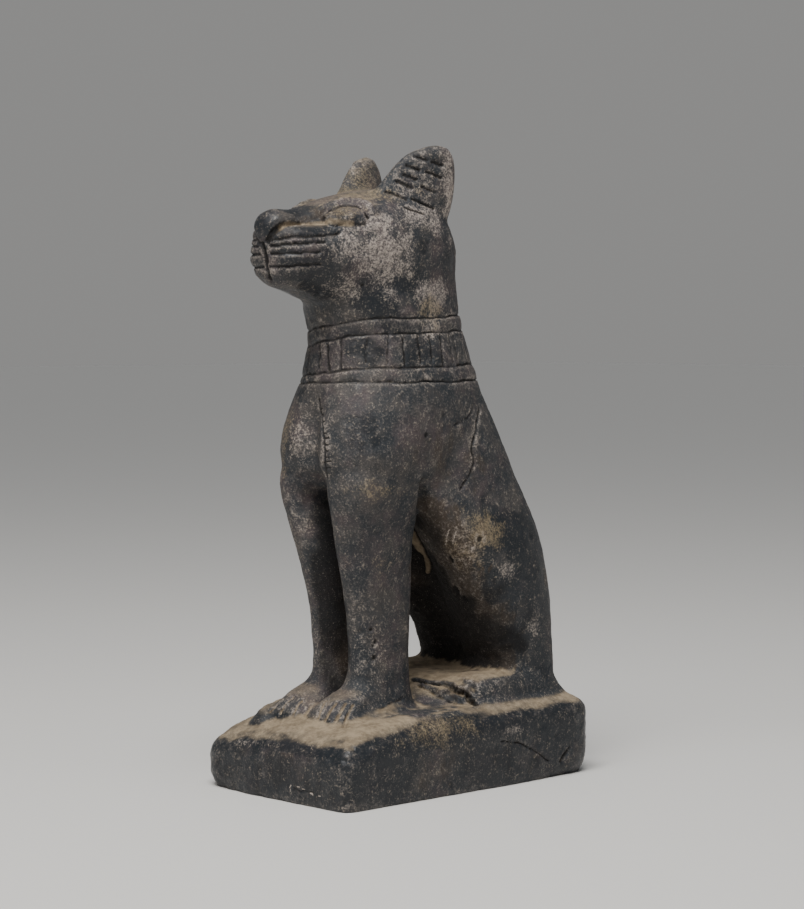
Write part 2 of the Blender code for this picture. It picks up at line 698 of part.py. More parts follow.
def collar_depths(mesh):
    x, y, z = drawn_points(mesh)
    sunk = np.zeros(len(x))
    for line in range(len(COLLAR_LINES)):
        sunk = np.maximum(sunk, groove(z - collar_height(x, y, line), COLLAR_WIDTH, COLLAR_DEPTH))
    between = eased(z, collar_height(x, y, 2), collar_height(x, y, 2) + 2)
    between *= 1 - eased(z, collar_height(x, y, 1) - 2, collar_height(x, y, 1))
    middle = -10.0
    radius = np.hypot(x, y - middle)
    for angle in bar_angles():
        turn = math.radians(angle)
        aside = np.abs(-x * math.sin(turn) + (y - middle) * math.cos(turn))
        ahead = x * math.cos(turn) + (y - middle) * math.sin(turn) > radius * 0.7
        sunk = np.maximum(sunk, groove(aside, BAR_WIDTH, BAR_DEPTH) * between * ahead)
    return sunk * (z > 195)


def carve(mesh):
    """Presses every carved line into the skin."""
    hollow_chest(mesh)
    lines, collar = line_depths(mesh), collar_depths(mesh)
    sunk = np.where(collar > np.abs(lines), collar, lines) * UNIT
    flat, normals = np.empty(len(sunk) * 3), np.empty(len(sunk) * 3)
    mesh.vertices.foreach_get("co", flat)
    mesh.vertex_normals.foreach_get("vector", normals)
    flat -= normals * np.repeat(sunk, 3)
    mesh.vertices.foreach_set("co", flat)
    return np.abs(lines) > 0


def decimated(mesh, detailed):
    """Fewer, larger facets, kept small where the form turns quickly and on the carved head and toes."""
    obj = new_object("carved", mesh)
    group = obj.vertex_groups.new(name="plain")
    group.add(np.flatnonzero(~detailed).tolist(), 1.0, "REPLACE")
    group.add(np.flatnonzero(detailed).tolist(), DETAIL_SHARE, "REPLACE")
    fewer = obj.modifiers.new("fewer", "DECIMATE")
    fewer.ratio = TRIANGLES / (2 * len(mesh.polygons))
    fewer.vertex_group = group.name
    fewer.vertex_group_factor = DETAIL_FACTOR
    return mesh_of(obj)


def cut_flat(mesh):
    """Takes away what is below the ground plane and closes the underside with one flat face."""
    bm = bmesh.new()
    bm.from_mesh(mesh)
    everything = bm.verts[:] + bm.edges[:] + bm.faces[:]
    bmesh.ops.bisect_plane(bm, geom=everything, plane_co=(0, 0, 0), plane_no=(0, 0, 1), clear_inner=True)
    rim = [edge for edge in bm.edges if edge.is_boundary]
    bmesh.ops.contextual_create(bm, geom=rim)
    bmesh.ops.triangulate(bm, faces=[face for face in bm.faces if len(face.verts) > 4])
    bmesh.ops.recalc_face_normals(bm, faces=bm.faces)
    bm.to_mesh(mesh)
    bm.free()


def stone():
    material = bpy.data.materials.new("dark stone")
    material.use_nodes = True
    shader = material.node_tree.nodes["Principled BSDF"]
    shader.inputs["Base Color"].default_value = STONE_COLOUR
    shader.inputs["Roughness"].default_value = STONE_ROUGHNESS
    shader.inputs["Metallic"].default_value = 0.0
    return material


def statue():
    blended = remeshed(rough_figure(), BLEND_VOXEL, 8)
    skin = remeshed(new_object("blend", blended), CARVE_VOXEL, 3)
    skin = decimated(skin, carve(skin))
    cut_flat(skin)
    skin.shade_smooth()
    skin.set_sharp_from_angle(angle=math.radians(50))
    skin.name = "statue"
    skin.materials.append(stone())
    return new_object("statue", skin)


def main():
    clear_scene()
    return statue()


main()
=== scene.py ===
"""A seated cat and its plinth, carved from one block of dark stone, worn and dusty, in soft studio light."""

import math

import bpy
import numpy as np
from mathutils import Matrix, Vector
from mathutils.bvhtree import BVHTree
from mathutils.kdtree import KDTree


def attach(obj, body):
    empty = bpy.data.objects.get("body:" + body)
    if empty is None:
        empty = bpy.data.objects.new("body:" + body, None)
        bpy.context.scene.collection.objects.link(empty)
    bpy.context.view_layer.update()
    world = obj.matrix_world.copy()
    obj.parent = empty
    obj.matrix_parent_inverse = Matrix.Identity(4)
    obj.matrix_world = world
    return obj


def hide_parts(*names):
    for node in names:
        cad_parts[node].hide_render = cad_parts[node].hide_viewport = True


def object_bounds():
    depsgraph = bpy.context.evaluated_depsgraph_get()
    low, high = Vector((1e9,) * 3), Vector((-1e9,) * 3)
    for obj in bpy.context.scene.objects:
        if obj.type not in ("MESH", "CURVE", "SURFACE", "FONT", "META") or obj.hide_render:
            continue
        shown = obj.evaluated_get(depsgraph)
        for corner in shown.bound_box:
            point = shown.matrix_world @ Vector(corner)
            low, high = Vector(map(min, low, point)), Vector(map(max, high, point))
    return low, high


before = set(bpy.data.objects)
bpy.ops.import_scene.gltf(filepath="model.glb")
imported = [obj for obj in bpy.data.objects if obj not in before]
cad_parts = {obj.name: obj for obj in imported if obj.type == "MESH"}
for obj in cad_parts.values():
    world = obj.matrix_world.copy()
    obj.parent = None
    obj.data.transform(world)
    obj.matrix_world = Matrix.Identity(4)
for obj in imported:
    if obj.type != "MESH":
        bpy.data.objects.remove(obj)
cad_low, cad_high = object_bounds()
cad_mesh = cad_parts["statue"].data
cad_corners = [vertex.co for vertex in cad_mesh.vertices]
cad_faces = [tuple(face.vertices) for face in cad_mesh.polygons]
cad_tree = BVHTree.FromPolygons(cad_corners, cad_faces)

# Camera, in metres, with its lens and sensor in millimetres
CAMERA_TURN = 46.3975  # degrees round from the cat's front to its left side
CAMERA_DISTANCE = 1.3
CAMERA_HEIGHT = 0.2283
AIM_HEIGHT = 0.1647
AIM_ASIDE = 0.0009
LENS = 101.57
SENSOR = 36.0

# Skin: its two grids and the height under which it is flat, in metres, its triangles and smoothing rounds
COARSE_GRID = 0.0011
FINE_GRID = 0.00062
FLAT_UNDER = 0.0007
SKIN_TRIANGLES = 194000
FACET_ROUNDS = 45
HEALING_ROUNDS = 30
HEALED_ROUNDS = 8
FINE_ROUNDS = 10

# Places below are drawn in millimetres on the CAD figure, which is this tall in them
DRAWN_TOP = 319.5
UNIT = cad_high.z / DRAWN_TOP
LINE_SPACING = 0.4
PLINTH_FRONT = -88.0
CORNER_X, CORNER_Y = 54.7, -87.2
CRISP_CORNER_TOP = 26

# Heights over which the plinth ends, the dusty ground ends and the head begins
PLINTH_FADE = (34, 42)
GROUND_FADE = (54, 62)
HEAD_FADE = (262, 272)

# Boxes round parts of the figure: low corner, high corner and the width over which each fades
THIGH_FRONTS = ((-1, -12, 54), (44, 46, 142), 8)
BROKEN_TOES = ((29, 5, 42.5), (43, 13.5, 50.5), 2.5)
FOREPAWS = ((-30, -68, 41), (30, -44, 60), 3)
PLINTH_TOP_EDGE = ((-60, -95, 26), (60, 95, 36), 4)

# The stone's unevenness, as layers of height, bump size and seed
UNEVENNESS = ((0.26, 17, 1), (0.12, 5, 2), (0.075, 1.9, 6))
# Scattered pits all over, on rough stone and along the sharp corner: count, radii, depth and seed
SCATTERED_PITS = (
    (1400, (0.5, 1.3), 0.32, 11),
    (500, (0.8, 2.6), 0.55, 12),
    (50, (0.8, 2.4), 0.7, 13),
)

# A mark's point with two numbers is a pixel of the photo, and the mark lies on the figure under it; a point
# with three is across, along and up in drawing units
PHOTO_WIDTH = 804
PHOTO_HEIGHT = 909

# Carved lines of the head, the same on both sides, each with its width and depth; a depth under 0 stands out
MUZZLE_LINE = ((11.0, -76, 280.2), (10.4, -85.7, 279.3), (8.3, -91, 275.6), (3.4, -92.4, 270))
MUZZLE_END_LINE = ((16.5, -64, 280.4), (11.3, -74, 280.2), (11.0, -77, 280.1))
LIP_LINE = ((0.5, -92, 269), (0, -90, 260), (0, -89, 250))
EYE_TOP_LINE = (
    (14.6, -65, 281.2),
    (15.2, -60.5, 285.6),
    (16.8, -54, 289.0),
    (20.6, -48.6, 288.0),
    (25.2, -46.4, 282.6),
)
EYE_UNDER_LINE = ((16.8, -64, 279.4), (22, -56.6, 278.2), (26, -48, 279.2))
BROW_RIDGE = (
    (10.1, -68.6, 283.5),
    (11.0, -58, 290.0),
    (14.6, -47, 292.4),
    (21.2, -43.2, 290.0),
    (25.6, -42.0, 285.4),
)
EYEBALL_RIDGE = ((17.5, -61.5, 282.2), (20.0, -55.5, 284.4), (23.4, -50.0, 283.4))
HEAD_LINES = (
    (MUZZLE_LINE, 3.0, 1.8),
    (MUZZLE_END_LINE, 2.6, 0.5),
    (LIP_LINE, 2.6, 1.9),
    (EYE_TOP_LINE, 2.6, 1.0),
    (EYE_UNDER_LINE, 2.6, 0.5),
    (BROW_RIDGE, 5.0, -1.0),
    (EYEBALL_RIDGE, 10.0, -1.8),
)
WHISKER_LINES = (
    ((272, 240), (305, 237), (339, 234)),
    ((270, 246), (300, 244), (325, 242)),
    ((270, 254), (297, 253), (320, 252)),
    ((270, 267), (297, 265), (320, 264)),
)
WHISKER_WIDTH = 1.7
WHISKER_DEPTH = 1.0
# The pale rim under a whisker line, partly dust and partly a painted highlight: its width and how far below
# the line it lies
LIP_WIDTH = 1.3
LIP_OFFSET = (0, 0, -1.4)
# Dust that lies under the muzzle's line
MUZZLE_DUST = ((281, 228), (288, 225), (320, 225), (352, 224))
MUZZLE_DUST_WIDTH = 4.0

# Lines of the left ear; the right ear repeats them, with this share of their height above the ears' base
EAR_BASE = 290.0
RIGHT_EAR_SHARE = 0.88
EAR_LINES = (
    ((413.6, 156.4), (427.2, 160.4)),
    ((406.4, 166), (419.2, 170)),
    ((403.2, 174.8), (416, 179.6)),
    ((396.8, 181.2), (412.8, 188.4)),
    ((385.6, 192.4), (406.4, 200.4)),
    ((432, 162), (441.6, 165.2)),
    ((425.6, 171.6), (441.6, 178)),
    ((420.8, 186.8), (435.2, 192.4)),
    ((411.2, 199.6), (433.6, 208.4)),
    ((404.8, 206.8), (424, 214)),
)
EAR_LINE_WIDTH = 2.0
EAR_LINE_DEPTH = 1.1

# Collar: each line's height at the middle of the neck, dip at the throat, tilt to the cat's right there, and
# climb to the back; then its bars, by their direction round the neck from the cat's left side
COLLAR_LINES = (
    (234.4, 2.7, 0.16, 0.045),
    (227.0, 2.7, 0.16, 0.045),
    (210.0, 1.6, 0.11, 0.03),
    (202.2, 0.0, 0.03, 0.0),
)
COLLAR_WIDTH = 1.6
COLLAR_DEPTH = 0.8
COLLAR_MIDDLE = -10.0
COLLAR_BOTTOM, COLLAR_TOP = 195, 245
THROAT = 25  # the dip begins this far forward and is full at twice that
COLLAR_WAVE = 0.45
BAR_END = 0.8
BAR_ANGLES = (-92, -84, -74, -57, -42, -28, -13, 0, 13, 25, 33)
HIDDEN_BARS = 15
BAR_WIDTH = 1.5
BAR_DEPTH = 0.8

# Grooves between the toes of the forepaws; those of the hind feet have crumbled away
TOE_LINES = (
    ((327, 700), (318, 719)),
    ((335.6, 703), (325, 722)),
    ((345, 703), (334, 725)),
    ((353, 705), (343, 727)),
    ((283, 698), (270, 712)),
    ((293, 697), (281, 714)),
    ((302, 700), (292, 716)),
    ((311, 706), (303, 719)),
)
TOE_WIDTH = 2.0
TOE_DEPTH = 1.3
# Coarse toe grooves of the CAD figure, which are healed before the finer ones are cut
HIND_TOE_LINES = (
    ((25.0, 17, 54), (25.0, 9, 42)),
    ((31.0, 17, 54), (31.5, 9, 42)),
    ((37.0, 17, 53.5), (38.0, 10, 42)),
)
CAD_TOE_LINES = (
    ((18.5, -61, 45), (17.2, -67.6, 37.4)),
    ((22.5, -58.6, 45.7), (23.9, -67, 37)),
    ((27.3, -55.3, 41.4), (28.5, -62, 37)),
    ((-7.0, -57, 46.5), (-4.0, -60, 40)),
    ((-11.3, -60.8, 45.3), (-9.0, -66, 38)),
    ((-16.5, -60.5, 45.5), (-16.5, -67, 37.5)),
    ((-22.0, -57, 44), (-23.0, -64, 37)),
)
CAD_WIDTH = 3.2
# How much wider than the CAD figure's coarse carving the healed strips are
HEAL_MARGIN = 1.0
HEAD_HEAL_SHARE = 1.3
TOE_HEAL_SHARE = 1.6
COLLAR_HEAL_MARGIN = 2.4

# Crease along the inner edge of the left breast, and the heights of the short chisel cuts across it
CREASE = ((319, 400), (320.5, 412), (322, 425), (324, 440), (325, 455), (326, 468), (10, -59.5, 156))
CREASE_WIDTH = 2.2
CREASE_DEPTH = 0.8
CREASE_CUTS = (158, 160.5, 163.5, 166, 169.5, 172, 175, 177.5, 180.5, 183, 186, 189)
CUT_LENGTH = 3.0
CUT_WIDTH = 1.1

# Cracks, crevices and knocked edges, as lines with their width and depth; a depth under 0 stands out
SHOULDER_CRACK = (
    (479.5, 409.5),
    (477, 420),
    (476.5, 429),
    (474, 440),
    (472, 450),
    (473.5, 458),
    (473.5, 465),
    (471, 471),
    (469, 477),
    (460, 490),
)
SHOULDER_FOLD = ((455, 425), (461, 420.6), (467.5, 417.6), (472, 411), (472.6, 405))
HEEL_LINE = ((382, 709.3), (393.2, 703), (402, 699.5))
CREVICE = ((411, 679), (427, 682.5), (447, 684.5), (465, 695), (476, 704))
CREVICE_RIDGE = ((423, 685), (443, 691), (463, 699))
LOWER_CREVICE = ((417, 685.5), (437, 696), (462, 704))
SIDE_CRACK = ((502, 741), (520, 743), (534, 750), (549, 761))
SIDE_GROOVE = ((569, 748), (561, 761))
TOP_CHIP = ((434, 712), (460, 708))
FRONT_CUT = ((294, 788), (299, 790.5), (306, 791.5), (314, 793))
DAMAGE_LINES = (
    (SHOULDER_CRACK, 2.3, 1.0),
    (SHOULDER_FOLD, 2.6, 0.6),
    (HEEL_LINE, 2.0, 0.5),
    (CREVICE, 4.0, 2.8),
    (CREVICE_RIDGE, 4.0, -0.9),
    (LOWER_CREVICE, 2.8, 1.3),
    (SIDE_CRACK, 1.4, 1.0),
    (SIDE_GROOVE, 3.0, 1.2),
    (TOP_CHIP, 2.4, 0.8),
    (FRONT_CUT, 1.3, 0.6),
)
# Pale scratches on the plinth's front and two on the thigh: points and width
SCRATCHES = (
    (((290, 791.5), (289.5, 787.5), (290.5, 785)), 1.0),
    (((297, 787), (299.5, 787.5)), 1.0),
    (((301.5, 788.5), (304, 789)), 1.2),
    (((310, 793.5), (313, 794.5)), 0.9),
    (((318.5, 796), (320, 796)), 1.2),
    (((445, 545), (449, 530)), 0.9),
    (((452, 545), (456, 532)), 0.9),
)
SCRATCH_DEPTH = 0.35
# A small raised ledge on the wall between the haunches, narrowing downwards, which takes the dust's colour:
# points and width
LEDGE = (
    (((-10.5, 15.5, 127.0), (-8.6, 18.8, 120.0), (-7.0, 21.5, 115.0)), 6.5),
    (((-7.0, 21.5, 115.0), (-5.4, 24.0, 109.5), (-6.5, 26.0, 105.5)), 4.6),
    (((-6.5, 26.0, 105.5), (-8.1, 27.6, 102.5)), 3.0),
)
LEDGE_RISE = 1.5

# Single pits: place, radius and depth
PITS = (
    ((371, 630), 1.3, 0.9),
    ((376, 642), 1.5, 1.0),
    ((373, 646), 1.1, 0.9),
    ((374, 659), 1.9, 1.1),
    ((363, 285), 1.4, 0.9),
    ((427, 435), 1.7, 1.1),
    ((450, 560), 2.6, 1.1),
    ((455, 590), 3.2, 1.3),
    ((465, 600), 2.4, 1.2),
    ((479.5, 539), 2.0, 0.9),
)

# Where the stone is worn pale, stained yellow, polished dark or brown, and where painted shade darkens
# the recesses: centre, three radii and strength, on both sides unless the centre lies to the right
PALE_PATCHES = (
    ((29, -42, 269), (15, 26, 19), 1.1),
    ((28, -36, 280), (9, 16, 7), 0.9),
    ((27, -48, 258), (12, 17, 14), 0.8),
    ((25, -57, 268), (8, 10, 12), 0.5),
    ((31, -12, 282), (9, 18, 8), 1.0),
    ((30.5, 6, 301), (4.5, 5, 24), 1.7),
    ((27, 3, 314), (5, 5, 6), 0.8),
    ((24, -12, 300), (10, 16, 10), 0.42),
    ((22, -56, 250), (11, 12, 10), 0.75),
    ((34, -15, 268), (8, 7, 12), -1.2),
    ((32, -7, 242), (10, 12, 14), 1.35),
    ((39, 8, 122), (12, 14, 18), 0.28),
    ((43, 34.3, 105.6), (4, 5, 5), 0.8),
    ((42, 54.5, 76), (6, 4.5, 13), 0.6),
    ((43, 22, 46), (7, 11, 7), 0.28),
    ((24, -46, 66), (12, 12, 20), 0.3),
    ((-8, -61, 176), (9, 10, 16), 0.5),
    ((-20, -86, 25), (16, 5, 1.6), 0.55),
    ((55.5, 29, 27.4), (3, 8, 2.5), 0.55),
)
YELLOW_PATCHES = (
    ((41.0, 16, 126), (11, 14, 13), 1.0),
    ((34, 8, 118), (12, 9, 16), 0.55),
    ((31, -9, 237), (10, 9, 8), 0.8),
    ((31, -45, 150), (12, 15, 6), 0.6),
    ((27, -36, 112), (8, 10, 7), 0.4),
    ((-22, -59, 174), (10, 10, 18), 0.6),
    ((16, -36, 295), (14, 24, 6), 0.9),
    ((21, -54, 285), (9, 13, 5), 0.75),
    ((10, -58, 289), (12, 9, 5), 0.3),
    ((-18, -14, 300), (24, 20, 24), 0.65),
    ((54, -28, 33), (9, 32, 9), 0.8),
)
POLISHED_PATCHES = (
    ((42, 42, 118), (10, 22, 36), 1.3),
    ((41, 60, 90), (10, 24, 40), 1.3),
    ((13, -64, 246), (16, 18, 9), 1.0),
    ((30, -30, 252), (8, 14, 8), 1.0),
    ((34, -16, 268), (5, 6, 8), 0.9),
    ((32, 8, 262), (8, 9, 16), 0.8),
    ((30, -51, 179), (12, 11, 15), 0.7),
    ((-14, -62, 167), (8, 9, 13), 0.9),
    ((2, -93, 281), (10, 8, 9), 1.1),
    ((8, -76, 286), (12, 16, 7), 1.2),
    ((14, -76, 264), (12, 18, 15), 1.3),
    ((18, -36, 238), (22, 26, 10), 1.0),
    ((20, -34, 218), (24, 34, 24), 0.8),
    ((24, -42, 128), (12, 18, 16), 0.5),
    ((24, -40, 92), (12, 18, 16), 0.3),
)
BROWN_PATCHES = (
    ((24, 8, 118), (24, 22, 28), 1.0),
    ((26, 24, 84), (22, 18, 32), 1.0),
    ((0, -30, 90), (10, 16, 60), 0.9),
    ((0, -88, 12), (56, 8, 16), 0.55),
    ((37, -6, 168), (9, 24, 22), 0.6),
    ((28, -20, 215), (14, 40, 14), 0.3),
    ((33, 9, 48), (10, 8, 7), 1.0),
    ((12, -70, 285), (14, 16, 8), 0.8),
    ((55, 10, 14), (6, 70, 16), 0.5),
)
# Painted shade: very dark patches in the recesses between the haunches, under the belly behind the forelegs,
# and between the forelegs
PAINTED_SHADE_PATCHES = (
    ((14, 36, 76), (36, 20, 30), 1.4),
    ((6, 42, 66), (32, 16, 20), 1.4),
    ((0, 24, 106), (19, 18, 32), 1.7),
    ((14, -2, 138), (14, 14, 14), 0.8),
    ((23, 2, 124), (10, 12, 24), 0.55),
    ((-6, -42, 100), (6.5, 14, 56), 1.0),
    ((6, -40, 96), (7, 14, 56), 0.9),
)
# Where the dust on the plinth and the snout is thin, in the same way
SWEPT_PATCHES = (
    ((8, -76, 286), (14, 18, 8), 0.8),
    ((34, -16, 40), (20, 26, 8), 1.05),
    ((46, 8, 39), (10, 20, 8), 0.45),
    ((8, 28, 56), (18, 10, 8), 0.6),
    ((26, 20, 55), (20, 12, 6), 0.25),
    ((-30, -70, 40), (10, 8, 8), 0.5),
)
PATCH_CORE = 0.2
PATCH_EDGE = 1.4


def link(obj):
    bpy.context.scene.collection.objects.link(obj)
    return obj


def place(x, y, z):
    """A place in metres from drawing units."""
    return Vector((x, y, z)) * UNIT


def eased(value, start, end):
    """0 before the start, 1 after the end, and smooth between."""
    t = np.clip((value - start) / (end - start), 0.0, 1.0)
    return t * t * (3 - 2 * t)


def camera_place():
    """Where the camera stands and the point that it looks at."""
    turn = math.radians(CAMERA_TURN)
    aside = Vector((math.cos(turn), math.sin(turn), 0))
    eye = Vector((CAMERA_DISTANCE * math.sin(turn), -CAMERA_DISTANCE * math.cos(turn), CAMERA_HEIGHT))
    return eye, Vector((0, 0, AIM_HEIGHT)) + aside * AIM_ASIDE


def seen(x, y):
    """The place on the CAD figure under a pixel of the photo, in drawing units."""
    eye, aim = camera_place()
    forward = (aim - eye).normalized()
    aside = forward.cross(Vector((0, 0, 1))).normalized()
    down = forward.cross(aside)
    focal = LENS / SENSOR * PHOTO_HEIGHT
    across, below = (x - PHOTO_WIDTH / 2) / focal, (y - PHOTO_HEIGHT / 2) / focal
    ray = (forward + aside * across + down * below).normalized()
    hit = cad_tree.ray_cast(eye, ray)[0]
    if hit is None:
        hit = cad_tree.find_nearest(eye + ray * (aim - eye).length)[0]
    return tuple(hit / UNIT)


def on_figure(points):
    """The points of a mark in drawing units, with those given as pixels found on the figure."""
    return [seen(*point) if len(point) == 2 else point for point in points]


def mirrored(points, side):
    """A mark's points in drawing units, on the cat's left with side 1 and on its right with side -1."""
    return tuple((side * x, y, z) for x, y, z in on_figure(points))


# Large odd numbers that scatter a cell's place and seed over the numbers of 32 bits
SCATTER = (374761393, 668265263, 1440662683, 974634777)
MIXERS = (1274126177, 1103515245)
ALL_BITS = 0xFFFFFFFF


def cell_value(cell, seed):
    """A number from 0 to 1 for each cell of a grid, always the same."""
    x, y, z = cell.T
    h = (x * SCATTER[0] + y * SCATTER[1] + z * SCATTER[2] + seed * SCATTER[3]) & ALL_BITS
    h = ((h ^ (h >> 13)) * MIXERS[0]) & ALL_BITS
    h = ((h ^ (h >> 16)) * MIXERS[1]) & ALL_BITS
    return (h ^ (h >> 15)) / (ALL_BITS + 1.0)


# A turn for each octave of noise, so that its grid doesn't show
TURN = np.array(((0.80, 0.36, -0.48), (-0.60, 0.48, -0.64), (0.0, 0.80, 0.60)))
OCTAVE_SEED = 17
NOISE_GAIN = 1.3


def noise_at(points, size, octaves=1, seed=0):
    """Smooth noise of about -1 to 1 whose bumps are of that size in drawing units."""
    scaled = points / (size * UNIT)
    total, amplitude = np.zeros(len(points)), 1.0
    for octave in range(octaves):
        scaled = scaled @ TURN
        cell = np.floor(scaled).astype(np.int64)
        t = scaled - cell
        t = t * t * t * (t * (t * 6 - 15) + 10)
        value = np.zeros(len(points))
        for corner in range(8):
            step = np.array((corner & 1, corner >> 1 & 1, corner >> 2 & 1))
            share = np.where(step, t, 1 - t).prod(axis=1)
            value += share * cell_value(cell + step, seed + octave * OCTAVE_SEED)
        total += amplitude * (value * 2 - 1)
        amplitude *= 0.5
        scaled = scaled * 2.0
    return total * NOISE_GAIN


class Skin:
    """The figure's surface as arrays, for sculpting it."""

    STEP_IN = 0.5
    STEP_OUT = 0.52

    def __init__(self, mesh):
        self.mesh = mesh
        count = len(mesh.vertices)
        flat = np.empty(count * 3)
        mesh.vertices.foreach_get("co", flat)
        self.points = flat.reshape(-1, 3)
        edges = np.empty(len(mesh.edges) * 2, np.int64)
        mesh.edges.foreach_get("vertices", edges)
        self.ends = edges.reshape(-1, 2)
        self.degree = np.bincount(edges, minlength=count)[:, None].astype(float)

    def write(self):
        self.mesh.vertices.foreach_set("co", self.points.ravel())
        self.mesh.update()

    def normals(self):
        self.write()
        flat = np.empty(len(self.points) * 3)
        self.mesh.vertex_normals.foreach_get("vector", flat)
        return flat.reshape(-1, 3)

    def around(self, values):
        """The mean of each point's neighbours."""
        a, b = self.ends[:, 0], self.ends[:, 1]
        total = np.empty_like(values)
        for k in range(values.shape[1]):
            column = values[:, k]
            total[:, k] = np.bincount(a, column[b], len(values)) + np.bincount(b, column[a], len(values))
        return total / self.degree

    def relax(self, rounds, mask=1.0):
        """Smooths, and shrinks a little."""
        for _ in range(rounds):
            self.points += self.STEP_IN * mask * (self.around(self.points) - self.points)

    def even(self, rounds, mask):
        """Smooths without shrinking."""
        for _ in range(rounds):
            self.points += self.STEP_IN * mask * (self.around(self.points) - self.points)
            self.points -= self.STEP_OUT * mask * (self.around(self.points) - self.points)

    def push(self, heights):
        """Moves each point out along its normal by so many drawing units."""
        self.points += self.normals() * (np.asarray(heights) * UNIT)[:, None]

    def drawn(self):
        """The points in drawing units, one array for each axis."""
        return (self.points / UNIT).T

    def spread(self, values, rounds):
        """Blurs one value over the surface."""
        values = values[:, None].astype(float)
        for _ in range(rounds):
            values = 0.5 * values + 0.5 * self.around(values)
        return values[:, 0]

    def tree(self):
        tree = KDTree(len(self.points))
        for index, point in enumerate(self.points):
            tree.insert(point, index)
        tree.balance()
        return tree


def applied(obj):
    """The object's mesh with its modifiers applied; the object itself goes."""
    graph = bpy.context.evaluated_depsgraph_get()
    mesh = bpy.data.meshes.new_from_object(obj.evaluated_get(graph))
    bpy.data.objects.remove(obj, do_unlink=True)
    return mesh


def on_grid(mesh, voxel):
    """The mesh's outer surface rebuilt on an even grid."""
    obj = link(bpy.data.objects.new("grid", mesh))
    remesh = obj.modifiers.new("grid", "REMESH")
    remesh.mode = "VOXEL"
    remesh.voxel_size = voxel
    return applied(obj)


def dense(points):
    """Closely spaced points on a line, in metres."""
    out = []
    points = on_figure(points)
    for start, end in zip(points, points[1:]):
        start, end = Vector(start), Vector(end)
        count = max(int((end - start).length / LINE_SPACING), 1)
        out += [place(*start.lerp(end, i / count)) for i in range(count + 1)]
    return out


def head_lines(width_of):
    """The carved lines of both sides of the head; width_of may widen them."""
    lines = []
    for side in (1, -1):
        lines += [(mirrored(points, side), width_of(width), depth) for points, width, depth in HEAD_LINES]
        wide = width_of(WHISKER_WIDTH)
        lines += [(mirrored(points, side), wide, WHISKER_DEPTH) for points in WHISKER_LINES]
        share = 1.0 if side > 0 else RIGHT_EAR_SHARE
        for points in EAR_LINES:
            points = [(x, y, EAR_BASE + (z - EAR_BASE) * share) for x, y, z in on_figure(points)]
            lines.append((mirrored(points, side), width_of(EAR_LINE_WIDTH), EAR_LINE_DEPTH))
    return lines


def near_line(tree, points, width, offset=(0, 0, 0)):
    """The skin points near a line, and how far each is from it, from 0 on the line to 1 at its edge."""
    nearest = {}
    for point in dense(points):
        on_skin = tree.find(point + place(*offset))[0]
        for _, index, distance in tree.find_range(on_skin, width / 2 * UNIT):
            share = 2 * distance / (width * UNIT)
            if share < nearest.get(index, 1.0):
                nearest[index] = share
    index = np.fromiter(nearest.keys(), int, len(nearest))
    return index, np.fromiter(nearest.values(), float, len(nearest))


def collar_height(x, y, line):
    """How high that line of the collar runs at each place."""
    height, dip, tilt, climb = COLLAR_LINES[line]
    throat = np.clip((-y - THROAT) / THROAT, 0.0, 1.0)
    return height + climb * y + (tilt * x - dip) * throat


def collar_wave(skin):
    """The slow unevenness of the collar's lines."""
    return noise_at(skin.points, 8, 2, 3)


def bar_angles():
    """Directions of the collar's bars, unevenly spaced where they are out of sight."""
    first, last = BAR_ANGLES[-1], BAR_ANGLES[0] + 360
    step = (last - first) / (HIDDEN_BARS + 1)
    hidden = [first + step * (i + 1) + 2.0 * math.sin(i * 2.3) for i in range(HIDDEN_BARS)]
    return list(BAR_ANGLES) + hidden


def collar_depths(skin, wider=0.0):
    """How deep the collar's lines and bars are at each point."""
    x, y, z = skin.drawn()
    wave = collar_wave(skin)
    fine = noise_at(skin.points, 2.2, 2, 4)
    deepest = COLLAR_DEPTH * (1 + 0.35 * wave + 0.3 * fine)
    sunk = np.zeros(len(x))
    for line in range(len(COLLAR_LINES)):
        distance = np.abs(z - collar_height(x, y, line) - COLLAR_WAVE * wave - 0.12 * fine)
        share = 2 * distance / (COLLAR_WIDTH + wider)
        sunk = np.maximum(sunk, deepest * np.clip(1 - share**1.5, 0, 1))
    radius = np.hypot(x, y - COLLAR_MIDDLE)
    low, high = collar_height(x, y, 2), collar_height(x, y, 1)
    for count, angle in enumerate(bar_angles()):
        turn = math.radians(angle)
        top, foot = 1.0 + 1.5 * math.sin(count * 2.7), 1.0 + 1.5 * math.cos(count * 1.9)
        over_foot = eased(z, low + foot - BAR_END, low + foot + BAR_END)
        between = over_foot * (1 - eased(z, high - top - BAR_END, high - top + BAR_END))
        slant = (z - (low + high) / 2) * 0.06 * math.sin(count * 1.3)
        aside = np.abs(-x * math.sin(turn) + (y - COLLAR_MIDDLE) * math.cos(turn) + slant + 0.5 * wave)
        ahead = x * math.cos(turn) + (y - COLLAR_MIDDLE) * math.sin(turn) > radius * 0.7
        share = 2 * aside / (BAR_WIDTH + wider)
        depth = BAR_DEPTH * (1 + 0.45 * math.sin(angle * 1.7) + 0.4 * fine)
        sunk = np.maximum(sunk, depth * np.clip(1 - share**1.5, 0, 1) * between * ahead)
    return np.maximum(sunk, 0) * (z > COLLAR_BOTTOM) * (z < COLLAR_TOP)


def crisp_places(skin):
    """0 where an edge stays crisp, by the underside and the sharp front corner, and 1 elsewhere."""
    x, y, z = skin.drawn()
    from_corner = np.hypot(x - cad_high.x / UNIT, y - PLINTH_FRONT)
    from_corner += 0.4 * np.maximum(z - CRISP_CORNER_TOP, 0)
    return eased(z, 1.0, 4.5) * (0.25 + 0.75 * eased(from_corner, 3.0, 9.0))


